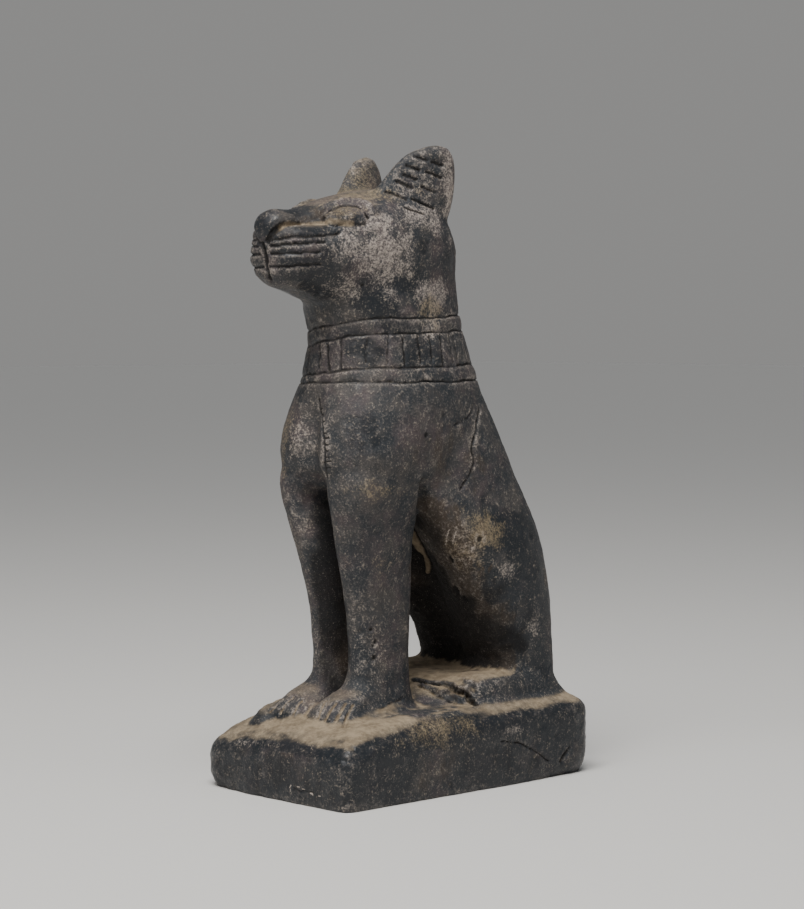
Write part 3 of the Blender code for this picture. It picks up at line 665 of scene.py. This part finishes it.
def smooth_figure():
    """The CAD figure on a fine grid, with its facets and its coarse carving smoothed away."""
    skin = Skin(on_grid(cad_mesh.copy(), COARSE_GRID))
    skin.even(FACET_ROUNDS, crisp_places(skin)[:, None])
    heal = np.zeros(len(skin.points))
    tree = skin.tree()
    head = head_lines(lambda width: (max(width, CAD_WIDTH) + HEAL_MARGIN) * HEAD_HEAL_SHARE)
    coarse = [(points, width) for points, width, _ in head]
    coarse += [(points, CAD_WIDTH * TOE_HEAL_SHARE) for points in CAD_TOE_LINES + HIND_TOE_LINES]
    for points, width in coarse:
        index, share = near_line(tree, points, width)
        heal[index] = np.maximum(heal[index], 1 - share**2)
    heal = np.maximum(heal, collar_depths(skin, COLLAR_HEAL_MARGIN) > 0)
    skin.relax(HEALING_ROUNDS, np.clip(heal * 2, 0, 1)[:, None])
    skin.even(HEALED_ROUNDS, crisp_places(skin)[:, None])
    skin.write()
    fine = Skin(on_grid(skin.mesh, FINE_GRID))
    fine.even(FINE_ROUNDS, crisp_places(fine)[:, None])
    return fine


def line_depths(skin, tree, lines, sharp, uneven):
    """How deep the lines are at each point; sharp shapes their sides and uneven roughens them."""
    sunk = np.zeros(len(skin.points))
    for points, width, depth in lines:
        index, share = near_line(tree, points, width)
        value = depth * (1 - share ** (2.0 if depth < 0 else sharp)) * (1 + uneven[index])
        better = np.abs(value) > np.abs(sunk[index])
        sunk[index[better]] = value[better]
    return sunk


def crease_lines():
    """The crease of the chest and the short cuts across it."""
    lines = [(CREASE, CREASE_WIDTH, CREASE_DEPTH)]
    x, y, z = np.array(on_figure(CREASE[::-1])).T
    for height in CREASE_CUTS:
        across, along = np.interp(height, z, x), np.interp(height, z, y)
        lean = math.sin(height * 1.7)
        end = (across + CUT_LENGTH + lean, along - 0.3, height + 0.5 * lean)
        lines.append((((across - 0.8, along, height), end), CUT_WIDTH, 0.75 + 0.2 * lean))
    return lines


def carve(skin, tree):
    """Cuts the carved lines, and gives for each point how deep it lies in one and in a toe's groove."""
    uneven = 0.3 * noise_at(skin.points, 3.0, 2, 5)
    sunk = line_depths(skin, tree, head_lines(lambda width: width) + crease_lines(), 1.6, uneven)
    collar = collar_depths(skin)
    sunk = np.where(collar > np.abs(sunk), collar, sunk)
    toes = line_depths(skin, tree, [(points, TOE_WIDTH, TOE_DEPTH) for points in TOE_LINES], 1.6, uneven)
    skin.push(-sunk - toes)
    return np.maximum(sunk, 0), toes


def damage(skin, tree):
    """Cracks, crevices, pits and scratches; gives how deep they are and where the scratches lie."""
    ragged = noise_at(skin.points, 1.8, 2, 8)
    sunk = line_depths(skin, tree, DAMAGE_LINES, 1.0, 0.6 * ragged)
    for centre, radius, depth in PITS:
        index, share = near_line(tree, (centre, centre), 2 * radius)
        value = depth * np.clip(1 - (share + 0.25 * ragged[index]) ** 2, 0, 1)
        sunk[index] = np.maximum(sunk[index], value)
    scratched = np.zeros(len(skin.points))
    for points, width in SCRATCHES:
        index, share = near_line(tree, points, width)
        sunk[index] = np.maximum(sunk[index], SCRATCH_DEPTH * (1 - share))
        scratched[index] = np.maximum(scratched[index], 1.3 - share + 0.4 * ragged[index])
    return sunk, scratched


def scattered_pits(skin, tree, count, radii, depth, seed, weight):
    """Small pits at places that are always the same; weight says how likely each point is to have one."""
    chance = np.random.default_rng(seed)
    centres = chance.choice(len(skin.points), count, p=weight / weight.sum())
    sizes = chance.uniform(0, 1, count) ** 2 * (radii[1] - radii[0]) + radii[0]
    ragged = noise_at(skin.points, 1.2, 1, seed)
    sunk = np.zeros(len(skin.points))
    for centre, radius in zip(centres, sizes):
        found = tree.find_range(skin.points[centre], radius * UNIT)
        index = np.array([item[1] for item in found], int)
        share = np.array([item[2] for item in found]) / (radius * UNIT)
        value = depth * radius / radii[1] * np.clip(1 - (share + 0.3 * ragged[index]) ** 2, 0, 1)
        sunk[index] = np.maximum(sunk[index], value)
    return sunk


def box_share(drawn, low, high, soft):
    """1 inside a box, easing to 0 outside."""
    inside = np.ones(len(drawn[0]))
    for value, a, b in zip(drawn, low, high):
        inside *= eased(value, a - soft, a) * (1 - eased(value, b, b + soft))
    return inside


def thigh_fronts(drawn, normals):
    """1 on the rough fronts of both thighs, easing to 0 around them."""
    x, y, z = drawn
    front = eased(-normals[:, 1], 0.15, 0.6)
    return box_share((np.abs(x), y, z), *THIGH_FRONTS) * front


def relief(skin, tree):
    """The stone's unevenness: soft waves, grain, pits, rough fronts of the thighs and broken hind toes."""
    drawn = x, y, z = skin.drawn()
    normals = skin.normals()
    plinth = 1 - eased(z, *PLINTH_FADE)
    thighs = thigh_fronts(drawn, normals)
    polished = patches(skin, POLISHED_PATCHES, 5)
    rough = (0.75 + 0.6 * plinth + 1.3 * thighs) * (1 - 0.45 * np.clip(polished, 0, 1))
    heights = np.zeros(len(x))
    for height, size, seed in UNEVENNESS:
        heights += height * rough * noise_at(skin.points, size, 2, seed)
    weights = (np.ones(len(x)), 0.15 + plinth + 2 * thighs, corner_edge(drawn) + 1e-6)
    for (count, radii, depth, seed), weight in zip(SCATTERED_PITS, weights):
        heights -= scattered_pits(skin, tree, count, radii, depth, seed, weight)
    rubble = box_share(drawn, *BROKEN_TOES)
    heights += rubble * (0.9 * noise_at(skin.points, 6, 2, 14) - 0.6)
    return heights


def corner_edge(drawn):
    """1 along the sharp upright edge at the plinth's front left, falling to 0 a few millimetres away."""
    x, y, z = drawn
    return np.exp(-((x - CORNER_X) ** 2 + (y - CORNER_Y) ** 2) / 1.6) * (z > 1) * (z < 32)


def patches(skin, table, seed, uneven=0.45):
    """How much each point belongs to a table's patches, with ragged edges; a strength under 0 takes away."""
    x, y, z = skin.drawn()
    ragged = uneven * noise_at(skin.points, 9, 3, seed)
    value, taken = np.zeros(len(x)), np.zeros(len(x))
    for centre, radii, strength in table:
        across = x if centre[0] < 0 else np.abs(x)
        away = np.array((across - centre[0], y - centre[1], z - centre[2])) / np.array(radii)[:, None]
        share = 1 - eased(np.sqrt((away**2).sum(0)) + ragged, PATCH_CORE, PATCH_EDGE)
        value = np.maximum(value, strength * share)
        taken = np.maximum(taken, -strength * share)
    return np.clip(value - taken, 0, None)


def keep_in_box(points):
    """The points moved inside the CAD model's box, with a flat underside."""
    points = np.clip(points, np.array(cad_low), np.array(cad_high))
    points[:, 2] = np.where(points[:, 2] < FLAT_UNDER, 0.0, points[:, 2])
    return points


def turned_in(skin, normals, rounds):
    """How far each point lies below its surroundings, in drawing units."""
    kept = skin.points.copy()
    skin.relax(rounds)
    below = ((skin.points - kept) * normals).sum(1) / UNIT
    skin.points = kept
    skin.write()
    return below


def surface_values(skin, lines, cracks, scratched, lips):
    """What each point carries: dust, worn edges with painted highlights on the lips of lines, patches,
    painted shade in the recesses, cuts and hollows, and scratches.
    """
    drawn = x, y, z = skin.drawn()
    normals = skin.normals()
    facing_up = skin.spread(normals[:, 2], 8)
    below = turned_in(skin, normals, 16)
    patchy = noise_at(skin.points, 20, 3, 21)
    fine = noise_at(skin.points, 2.6, 3, 22)

    ground = 1 - eased(z, *GROUND_FADE)
    head = eased(z, *HEAD_FADE)
    dust = eased(facing_up + 0.05 * fine + 0.07 * patchy, 0.55, 0.97)
    dust *= 0.32 + 0.68 * ground + 0.04 * head
    dust += 0.55 * eased(below, 0.03, 0.25) * eased(normals[:, 2], 0.1, 0.6)
    dust += 0.35 * eased(below, 0.05, 0.4) * ground
    rim = eased(np.maximum(np.abs(x) - 40, -y - 70), 0, 10) * ground
    dust *= 1 - 0.35 * rim * eased(fine + patchy, -0.4, 0.6)
    dust *= 1 - 0.55 * box_share(drawn, *FOREPAWS)
    streaky = noise_at(skin.points * np.array((1.0, 0.25, 1.0)), 2.4, 3, 23)
    dust *= 1 - np.clip(patches(skin, SWEPT_PATCHES, 24) * (0.85 + 0.5 * streaky), 0, 0.95)
    # Painted shade, very dark, in the recesses; above the height of the dusty ground it also takes the dust
    # away
    painted_recess_shade = patches(skin, PAINTED_SHADE_PATCHES, 34, 0.18)
    dust *= 1 - np.clip(1.3 * painted_recess_shade, 0, 1) * eased(z, 55, 58.5)
    dust = skin.spread(dust, 5)

    polished = patches(skin, POLISHED_PATCHES, 5)
    wear_dust_and_highlight = eased(-below, 0.02, 0.18) * eased(fine + 0.6 * patchy, -0.2, 0.7)
    wear_dust_and_highlight *= 1 - 0.7 * np.clip(polished, 0, 1)
    wear_dust_and_highlight *= 0.4 + 0.6 * eased(z, *PLINTH_FADE)
    # Worn pale edges and corner, and pale lips: dust with a painted highlight under the whisker and collar
    # lines, and dust in the toes' grooves
    wear_dust_and_highlight = np.clip(wear_dust_and_highlight + lips + 0.9 * corner_edge(drawn) * eased(patchy + fine, 0.0, 0.9), 0, 1)
    brown = np.maximum(patches(skin, BROWN_PATCHES, 31), thigh_fronts(drawn, normals))
    top_edge = box_share(drawn, *PLINTH_TOP_EDGE) * (1 - eased(facing_up, 0.75, 0.95))
    sides = (1 - eased(z, 28, 34)) * (1 - eased(facing_up, 0.5, 0.8))
    return {
        "dust": dust,
        "wear_dust_and_highlight": wear_dust_and_highlight,
        "pale": patches(skin, PALE_PATCHES, 32),
        "yellow": patches(skin, YELLOW_PATCHES, 33),
        "polished": np.maximum(polished, np.maximum(1.3 * top_edge, (0.8 + 0.6 * patchy) * sides)),
        "brown": brown,
        "painted_recess_shade": painted_recess_shade,
        # Painted shade in the carved lines, cracks, pits and scratches, by how deep they are
        "cut_shade": np.clip(lines, 0, 1) + np.clip(cracks, 0, 1),
        "scratch": scratched,
        "shade": eased(below, 0.02, 0.35),
    }


def pale_lips(skin, tree, toes):
    """Thin pale rims under the whisker lines and the collar's, partly dust and partly a painted highlight
    where their lower lips catch the light, and pale dust in the grooves of the toes.
    """
    lips = np.clip(1.2 * toes, 0, 1)
    for side in (1, -1):
        for points in WHISKER_LINES:
            index, share = near_line(tree, mirrored(points, side), LIP_WIDTH, LIP_OFFSET)
            lips[index] = np.maximum(lips[index], 0.55 * (1 - share))
    x, y, z = skin.drawn()
    wave = COLLAR_WAVE * collar_wave(skin)
    for line in range(len(COLLAR_LINES)):
        under = np.abs(z - collar_height(x, y, line) + 1.2 - wave)
        lips = np.maximum(lips, 0.45 * np.clip(1 - under / 0.6, 0, 1))
    return lips


def fewer_triangles(skin, carved):
    """The skin's mesh with fewer triangles, which stay small where it is carved."""
    obj = link(bpy.data.objects.new("carving", skin.mesh))
    group = obj.vertex_groups.new(name="plain")
    group.add(np.flatnonzero(~carved).tolist(), 1.0, "REPLACE")
    group.add(np.flatnonzero(carved).tolist(), 0.5, "REPLACE")
    fewer = obj.modifiers.new("fewer", "DECIMATE")
    fewer.ratio = min(1.0, SKIN_TRIANGLES / (2 * len(skin.mesh.polygons)))
    fewer.vertex_group = group.name
    fewer.vertex_group_factor = 1.0
    return applied(obj)


def figure():
    """The finished figure, with what its surface carries as attributes."""
    skin = smooth_figure()
    tree = skin.tree()
    lines, toes = carve(skin, tree)
    cracks, scratched = damage(skin, tree)
    ledge = np.zeros(len(skin.points))
    for points, width in LEDGE:
        index, share = near_line(tree, points, width)
        ledge[index] = np.maximum(ledge[index], 1 - share**2)
    heights = relief(skin, tree) - cracks + LEDGE_RISE * ledge
    lips = pale_lips(skin, tree, toes)
    skin.push(heights)
    skin.points = keep_in_box(skin.points)
    values = surface_values(skin, lines, cracks, scratched, lips)
    for side in (1, -1):
        index, share = near_line(tree, mirrored(MUZZLE_DUST, side), MUZZLE_DUST_WIDTH)
        values["dust"][index] = np.maximum(values["dust"][index], 0.7 * (1 - share**2))
    values["dust"] = np.maximum(values["dust"], np.maximum(1.3 * ledge, 0.75 * toes))
    for name, value in values.items():
        attribute = skin.mesh.attributes.new(name, "FLOAT", "POINT")
        attribute.data.foreach_set("value", np.clip(value, 0, 1).astype(np.float32))
    dust_edge = np.abs(values["dust"] - skin.spread(values["dust"], 4)) > 0.045
    carved = skin.spread((lines > 0.05) | (toes > 0.05) | (cracks > 0.2) | dust_edge, 3) > 0.05
    mesh = fewer_triangles(skin, carved)
    light = Skin(mesh)
    light.points = keep_in_box(light.points)
    light.write()
    mesh.shade_smooth()
    mesh.name = "cat_and_plinth"
    mesh.materials.clear()
    mesh.materials.append(stone())
    return link(bpy.data.objects.new("cat_and_plinth", mesh))


class Shading:
    """Short calls that add nodes to one material."""

    def __init__(self, name):
        self.material = bpy.data.materials.new(name)
        self.material.use_nodes = True
        self.tree = self.material.node_tree
        self.shader = self.tree.nodes["Principled BSDF"]

    def node(self, kind, **settings):
        node = self.tree.nodes.new(kind)
        for key, value in settings.items():
            setattr(node, key, value)
        return node

    def link(self, start, end):
        self.tree.links.new(start, end)

    def feed(self, socket, value):
        """Links a socket or sets a number."""
        if isinstance(value, bpy.types.NodeSocket):
            self.link(value, socket)
        else:
            socket.default_value = value

    def attribute(self, name):
        return self.node("ShaderNodeAttribute", attribute_name=name).outputs["Fac"]

    def noise(self, size, detail=3.0, rough=0.55, stretch=(1, 1, 1), turn=(0, 0, 0), offset=0.0):
        """Noise from 0 to 1 whose bumps are of that size in metres."""
        mapping = self.node("ShaderNodeMapping")
        self.link(self.node("ShaderNodeTexCoord").outputs["Object"], mapping.inputs["Vector"])
        mapping.inputs["Scale"].default_value = stretch
        mapping.inputs["Rotation"].default_value = [math.radians(angle) for angle in turn]
        mapping.inputs["Location"].default_value = (offset, offset, offset)
        texture = self.node("ShaderNodeTexNoise")
        self.link(mapping.outputs[0], texture.inputs["Vector"])
        texture.inputs["Scale"].default_value = 1.0 / size
        texture.inputs["Detail"].default_value = detail
        texture.inputs["Roughness"].default_value = rough
        return texture.outputs["Fac"]

    def math(self, operation, a, b=0.0):
        node = self.node("ShaderNodeMath", operation=operation)
        self.feed(node.inputs[0], a)
        self.feed(node.inputs[1], b)
        return node.outputs[0]

    def add(self, a, b, share=1.0):
        """a plus that share of b."""
        return self.math("ADD", a, b if share == 1.0 else self.math("MULTIPLY", b, share))

    def centred(self, value, gain):
        """The value's distance from a half, times the gain."""
        return self.math("MULTIPLY", self.math("SUBTRACT", value, 0.5), gain)

    def ramp(self, value, start, end, low=0.0, high=1.0):
        """Eases from low to high as the value goes from start to end."""
        node = self.node("ShaderNodeMapRange", interpolation_type="SMOOTHSTEP")
        self.feed(node.inputs["Value"], value)
        for name, number in (("From Min", start), ("From Max", end), ("To Min", low), ("To Max", high)):
            node.inputs[name].default_value = number
        return node.outputs["Result"]

    def mix(self, share, a, b):
        node = self.node("ShaderNodeMix", data_type="RGBA")
        self.feed(node.inputs["Factor"], share)
        for socket, colour in ((node.inputs["A"], a), (node.inputs["B"], b)):
            self.feed(socket, colour if isinstance(colour, bpy.types.NodeSocket) else (*colour, 1.0))
        return node.outputs["Result"]

    def mix_value(self, share, a, b):
        node = self.node("ShaderNodeMix", data_type="FLOAT")
        self.feed(node.inputs["Factor"], share)
        self.feed(node.inputs["A"], a)
        self.feed(node.inputs["B"], b)
        return node.outputs["Result"]


DARK_STONE = (0.022, 0.026, 0.031)
GREY_STONE = (0.062, 0.056, 0.053)
PURPLE_STONE = (0.065, 0.051, 0.053)
POLISHED_STONE = (0.013, 0.016, 0.020)
BROWN_STONE = (0.056, 0.041, 0.029)
PALE_STONE = (0.460, 0.398, 0.345)
DULL_PALE = (0.245, 0.208, 0.192)
YELLOW_STONE = (0.250, 0.194, 0.116)
SPECK = (0.220, 0.198, 0.178)
DUST = (0.330, 0.262, 0.178)
DARK_DUST = (0.170, 0.130, 0.086)
# Tiny dark pits, and the painted shade in carved lines, cracks and hollows
DARK_PITS_AND_PAINTED_SHADE = (0.013, 0.012, 0.012)
# Colour of the painted shade in the recesses
PAINTED_SHADE_DARK = (0.009, 0.0085, 0.009)


def stone():
    """Dark stone, mottled grey, brown and very dark polished blue, with worn pale places, specks, scratches
    and dust, painted shade in its cuts, hollows and recesses and painted highlights on the lips of lines.
    """
    s = Shading("dark stone")
    broad = s.noise(0.030, 4.0, 0.6)
    middle = s.noise(0.009, 4.0, 0.62, offset=3.1)
    small = s.noise(0.0026, 4.0, 0.65, offset=7.7)
    grain = s.noise(0.0010, 3.0, 0.65, offset=1.9)
    tiny = s.noise(0.00055, 2.0, 0.6, offset=5.3)
    streak = s.noise(0.010, 4.0, 0.6, (1, 1, 0.3), offset=9.0)
    tint = s.noise(0.022, 3.0, 0.6, offset=12.0)

    patch = s.add(s.math("MULTIPLY", broad, 0.55), middle, 0.45)
    grey = s.mix(s.ramp(tint, 0.44, 0.60), GREY_STONE, PURPLE_STONE)
    colour = s.mix(s.ramp(patch, 0.40, 0.62), DARK_STONE, grey)
    brown = s.add(s.attribute("brown"), s.centred(streak, 1.5))
    brown = s.ramp(s.add(brown, s.centred(small, 0.6)), 0.25, 1.05)
    colour = s.mix(s.math("MULTIPLY", brown, 0.85), colour, BROWN_STONE)
    polished = s.ramp(s.add(s.attribute("polished"), s.centred(middle, 1.3)), 0.25, 0.85)
    colour = s.mix(s.math("MULTIPLY", polished, 0.85), colour, POLISHED_STONE)

    dull = s.ramp(polished, 0.0, 1.0, 1.0, 0.22)
    mottle = s.add(s.math("MULTIPLY", small, 0.4), grain, 0.6)
    colour = s.mix(s.math("MULTIPLY", dull, s.ramp(mottle, 0.47, 0.68, 0.0, 0.34)), colour, SPECK)
    colour = s.mix(s.ramp(mottle, 0.42, 0.30, 0.0, 0.6), colour, DARK_STONE)

    speckled = s.add(s.centred(small, 1.6), s.centred(grain, 2.4))
    showing = s.ramp(s.add(s.math("MULTIPLY", grain, 0.5), tiny, 0.5), 0.38, 0.62, 0.50, 1.0)
    pale = s.add(s.attribute("pale"), s.centred(middle, 0.6))
    pale = s.ramp(s.add(pale, speckled), 0.10, 1.40, 0.0, 0.92)
    pale_tone = s.ramp(s.add(s.math("MULTIPLY", small, 0.5), grain, 0.5), 0.40, 0.62)
    colour = s.mix(s.math("MULTIPLY", pale, showing), colour, s.mix(pale_tone, DULL_PALE, PALE_STONE))
    yellow = s.add(s.attribute("yellow"), s.centred(middle, 0.6))
    yellow = s.ramp(s.add(yellow, speckled), 0.15, 1.45, 0.0, 0.90)
    colour = s.mix(s.math("MULTIPLY", yellow, showing), colour, YELLOW_STONE)
    # Worn pale edges, with painted highlights on the lower lips of the whisker and collar lines
    wear_dust_and_highlight = s.math("MULTIPLY", s.attribute("wear_dust_and_highlight"), s.ramp(grain, 0.35, 0.60))
    colour = s.mix(s.math("MULTIPLY", wear_dust_and_highlight, 0.50), colour, PALE_STONE)

    flecks = s.ramp(tiny, 0.63, 0.72, 0.0, 0.75)
    flecks = s.math("MULTIPLY", flecks, s.ramp(s.add(broad, s.centred(small, 0.8)), 0.35, 0.7, 0.15, 1.0))
    colour = s.mix(s.math("MULTIPLY", flecks, dull), colour, SPECK)
    colour = s.mix(s.ramp(tiny, 0.37, 0.30, 0.0, 0.7), colour, DARK_PITS_AND_PAINTED_SHADE)
    across = s.noise(0.0045, 2.0, 0.5, (1, 1, 14), (25, 10, 0), 2.2)
    along = s.noise(0.0045, 2.0, 0.5, (14, 14, 1), (15, 20, 0), 4.4)
    scratches = s.math("MAXIMUM", s.ramp(across, 0.70, 0.76), s.ramp(along, 0.70, 0.76))
    scratches = s.math("MULTIPLY", scratches, s.ramp(middle, 0.45, 0.65, 0.0, 0.5))
    colour = s.mix(scratches, colour, PALE_STONE)

    # Painted shade in the carved lines and cracks
    cut_shade = s.ramp(s.add(s.attribute("cut_shade"), s.centred(small, 0.3)), 0.2, 0.85, 0.0, 0.75)
    colour = s.mix(cut_shade, colour, DARK_PITS_AND_PAINTED_SHADE)
    shade = s.ramp(s.attribute("shade"), 0.15, 1.0, 0.0, 0.45)
    colour = s.mix(shade, colour, DARK_PITS_AND_PAINTED_SHADE)
    # Painted shade darkens the recesses between the haunches and between the forelegs
    painted_recess_shade = s.ramp(s.add(s.attribute("painted_recess_shade"), s.centred(small, 0.35)), 0.0, 0.85, 0.0, 0.88)
    colour = s.mix(s.math("MULTIPLY", painted_recess_shade, s.ramp(tiny, 0.70, 0.62)), colour, PAINTED_SHADE_DARK)
    scratch = s.ramp(s.attribute("scratch"), 0.35, 0.8, 0.0, 0.85)
    colour = s.mix(scratch, colour, PALE_STONE)

    settled = s.add(s.add(s.attribute("dust"), s.centred(small, 0.25)), s.centred(grain, 0.40))
    dust = s.ramp(settled, 0.10, 0.92, 0.0, 0.94)
    tone = s.ramp(s.add(s.math("MULTIPLY", middle, 0.6), small, 0.4), 0.35, 0.65)
    colour = s.mix(dust, colour, s.mix(tone, DARK_DUST, DUST))
    s.link(colour, s.shader.inputs["Base Color"])

    rough = s.mix_value(polished, 0.62, 0.36)
    rough = s.add(rough, s.centred(small, 0.25))
    rough = s.mix_value(brown, rough, 0.80)
    rough = s.mix_value(s.math("MAXIMUM", dust, painted_recess_shade), rough, 0.97)
    s.link(rough, s.shader.inputs["Roughness"])
    s.shader.inputs["Specular IOR Level"].default_value = 0.30

    height = s.add(s.math("MULTIPLY", small, 0.9), grain, 0.55)
    height = s.add(s.add(height, tiny, 0.25), middle, 0.5)
    height = s.math("MULTIPLY", height, s.mix_value(polished, 1.0, 0.45))
    bump = s.node("ShaderNodeBump")
    bump.inputs["Strength"].default_value = 0.9
    bump.inputs["Distance"].default_value = 0.0006
    s.link(height, bump.inputs["Height"])
    s.link(bump.outputs["Normal"], s.shader.inputs["Normal"])
    return s.material


FLOOR_HALF = 12.0
FLOOR_HEIGHT = -0.0002
FLOOR_COLOUR = (0.66, 0.65, 0.63)


def floor():
    """A plain pale floor that is not part of the object."""
    mesh = bpy.data.meshes.new("floor")
    half = FLOOR_HALF
    corners = [(-half, -half, 0), (half, -half, 0), (half, half, 0), (-half, half, 0)]
    mesh.from_pydata(corners, [], [(0, 1, 2, 3)])
    obj = link(bpy.data.objects.new("floor", mesh))
    obj.location.z = FLOOR_HEIGHT
    material = bpy.data.materials.new("floor")
    material.use_nodes = True
    shader = material.node_tree.nodes["Principled BSDF"]
    shader.inputs["Base Color"].default_value = (*FLOOR_COLOUR, 1)
    shader.inputs["Roughness"].default_value = 0.9
    mesh.materials.append(material)


def softbox(name, azimuth, elevation, distance, width, power, colour):
    """A square area lamp aimed at the figure; azimuth runs from the cat's front to its left side."""
    data = bpy.data.lights.new(name, "AREA")
    data.size, data.energy, data.color = width, power, colour
    a, e = math.radians(azimuth), math.radians(elevation)
    away = Vector((math.sin(a) * math.cos(e), -math.cos(a) * math.cos(e), math.sin(e)))
    lamp = link(bpy.data.objects.new(name, data))
    lamp.location = Vector((0, 0, AIM_HEIGHT)) + away * distance
    lamp.rotation_euler = (-away).to_track_quat("-Z", "Y").to_euler()


# Area lamps: azimuth and elevation in degrees, distance and width in metres, power and colour
LAMPS = (
    ("top", 35, 60, 1.5, 0.8, 25, (1.0, 0.98, 0.95)),
    ("front", 8, 36, 1.7, 0.8, 6, (1.0, 0.97, 0.93)),
    ("side", 112, 30, 1.8, 0.6, 1.8, (0.90, 0.94, 1.0)),
)
SKY_POWER = 0.9
SKY_WIDTH = 50  # degrees
SKY_TILT = (0.25, 0.15, 0)
HORIZON = (0.270, 0.268, 0.263)
ZENITH = (0.13, 0.135, 0.14)


def lights():
    """The lamps, a wide soft sun and a sky that darkens upwards."""
    for lamp in LAMPS:
        softbox(*lamp)
    data = bpy.data.lights.new("sky", "SUN")
    data.energy, data.angle = SKY_POWER, math.radians(SKY_WIDTH)
    link(bpy.data.objects.new("sky", data)).rotation_euler = SKY_TILT
    world = bpy.data.worlds.new("studio")
    bpy.context.scene.world = world
    world.use_nodes = True
    tree = world.node_tree
    background = tree.nodes["Background"]
    direction = tree.nodes.new("ShaderNodeTexCoord")
    split = tree.nodes.new("ShaderNodeSeparateXYZ")
    sky = tree.nodes.new("ShaderNodeValToRGB")
    tree.links.new(direction.outputs["Generated"], split.inputs[0])
    tree.links.new(split.outputs["Z"], sky.inputs["Fac"])
    tree.links.new(sky.outputs["Color"], background.inputs["Color"])
    stops = sky.color_ramp.elements
    stops[0].color = (*HORIZON, 1)
    stops[1].position = 0.35
    stops[1].color = (*ZENITH, 1)
    stops.new(0.16).color = (*HORIZON, 1)
    background.inputs["Strength"].default_value = 1.0


def camera():
    """The camera at the photo's place and angle."""
    data = bpy.data.cameras.new("camera")
    data.lens, data.sensor_width = LENS, SENSOR
    data.clip_start, data.clip_end = 0.05, 50
    obj = link(bpy.data.objects.new("camera", data))
    eye, aim = camera_place()
    obj.location = eye
    obj.rotation_euler = (aim - eye).to_track_quat("-Z", "Y").to_euler()
    bpy.context.scene.camera = obj


cat = figure()
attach(cat, "root")
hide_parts("statue")
floor()
lights()
camera()
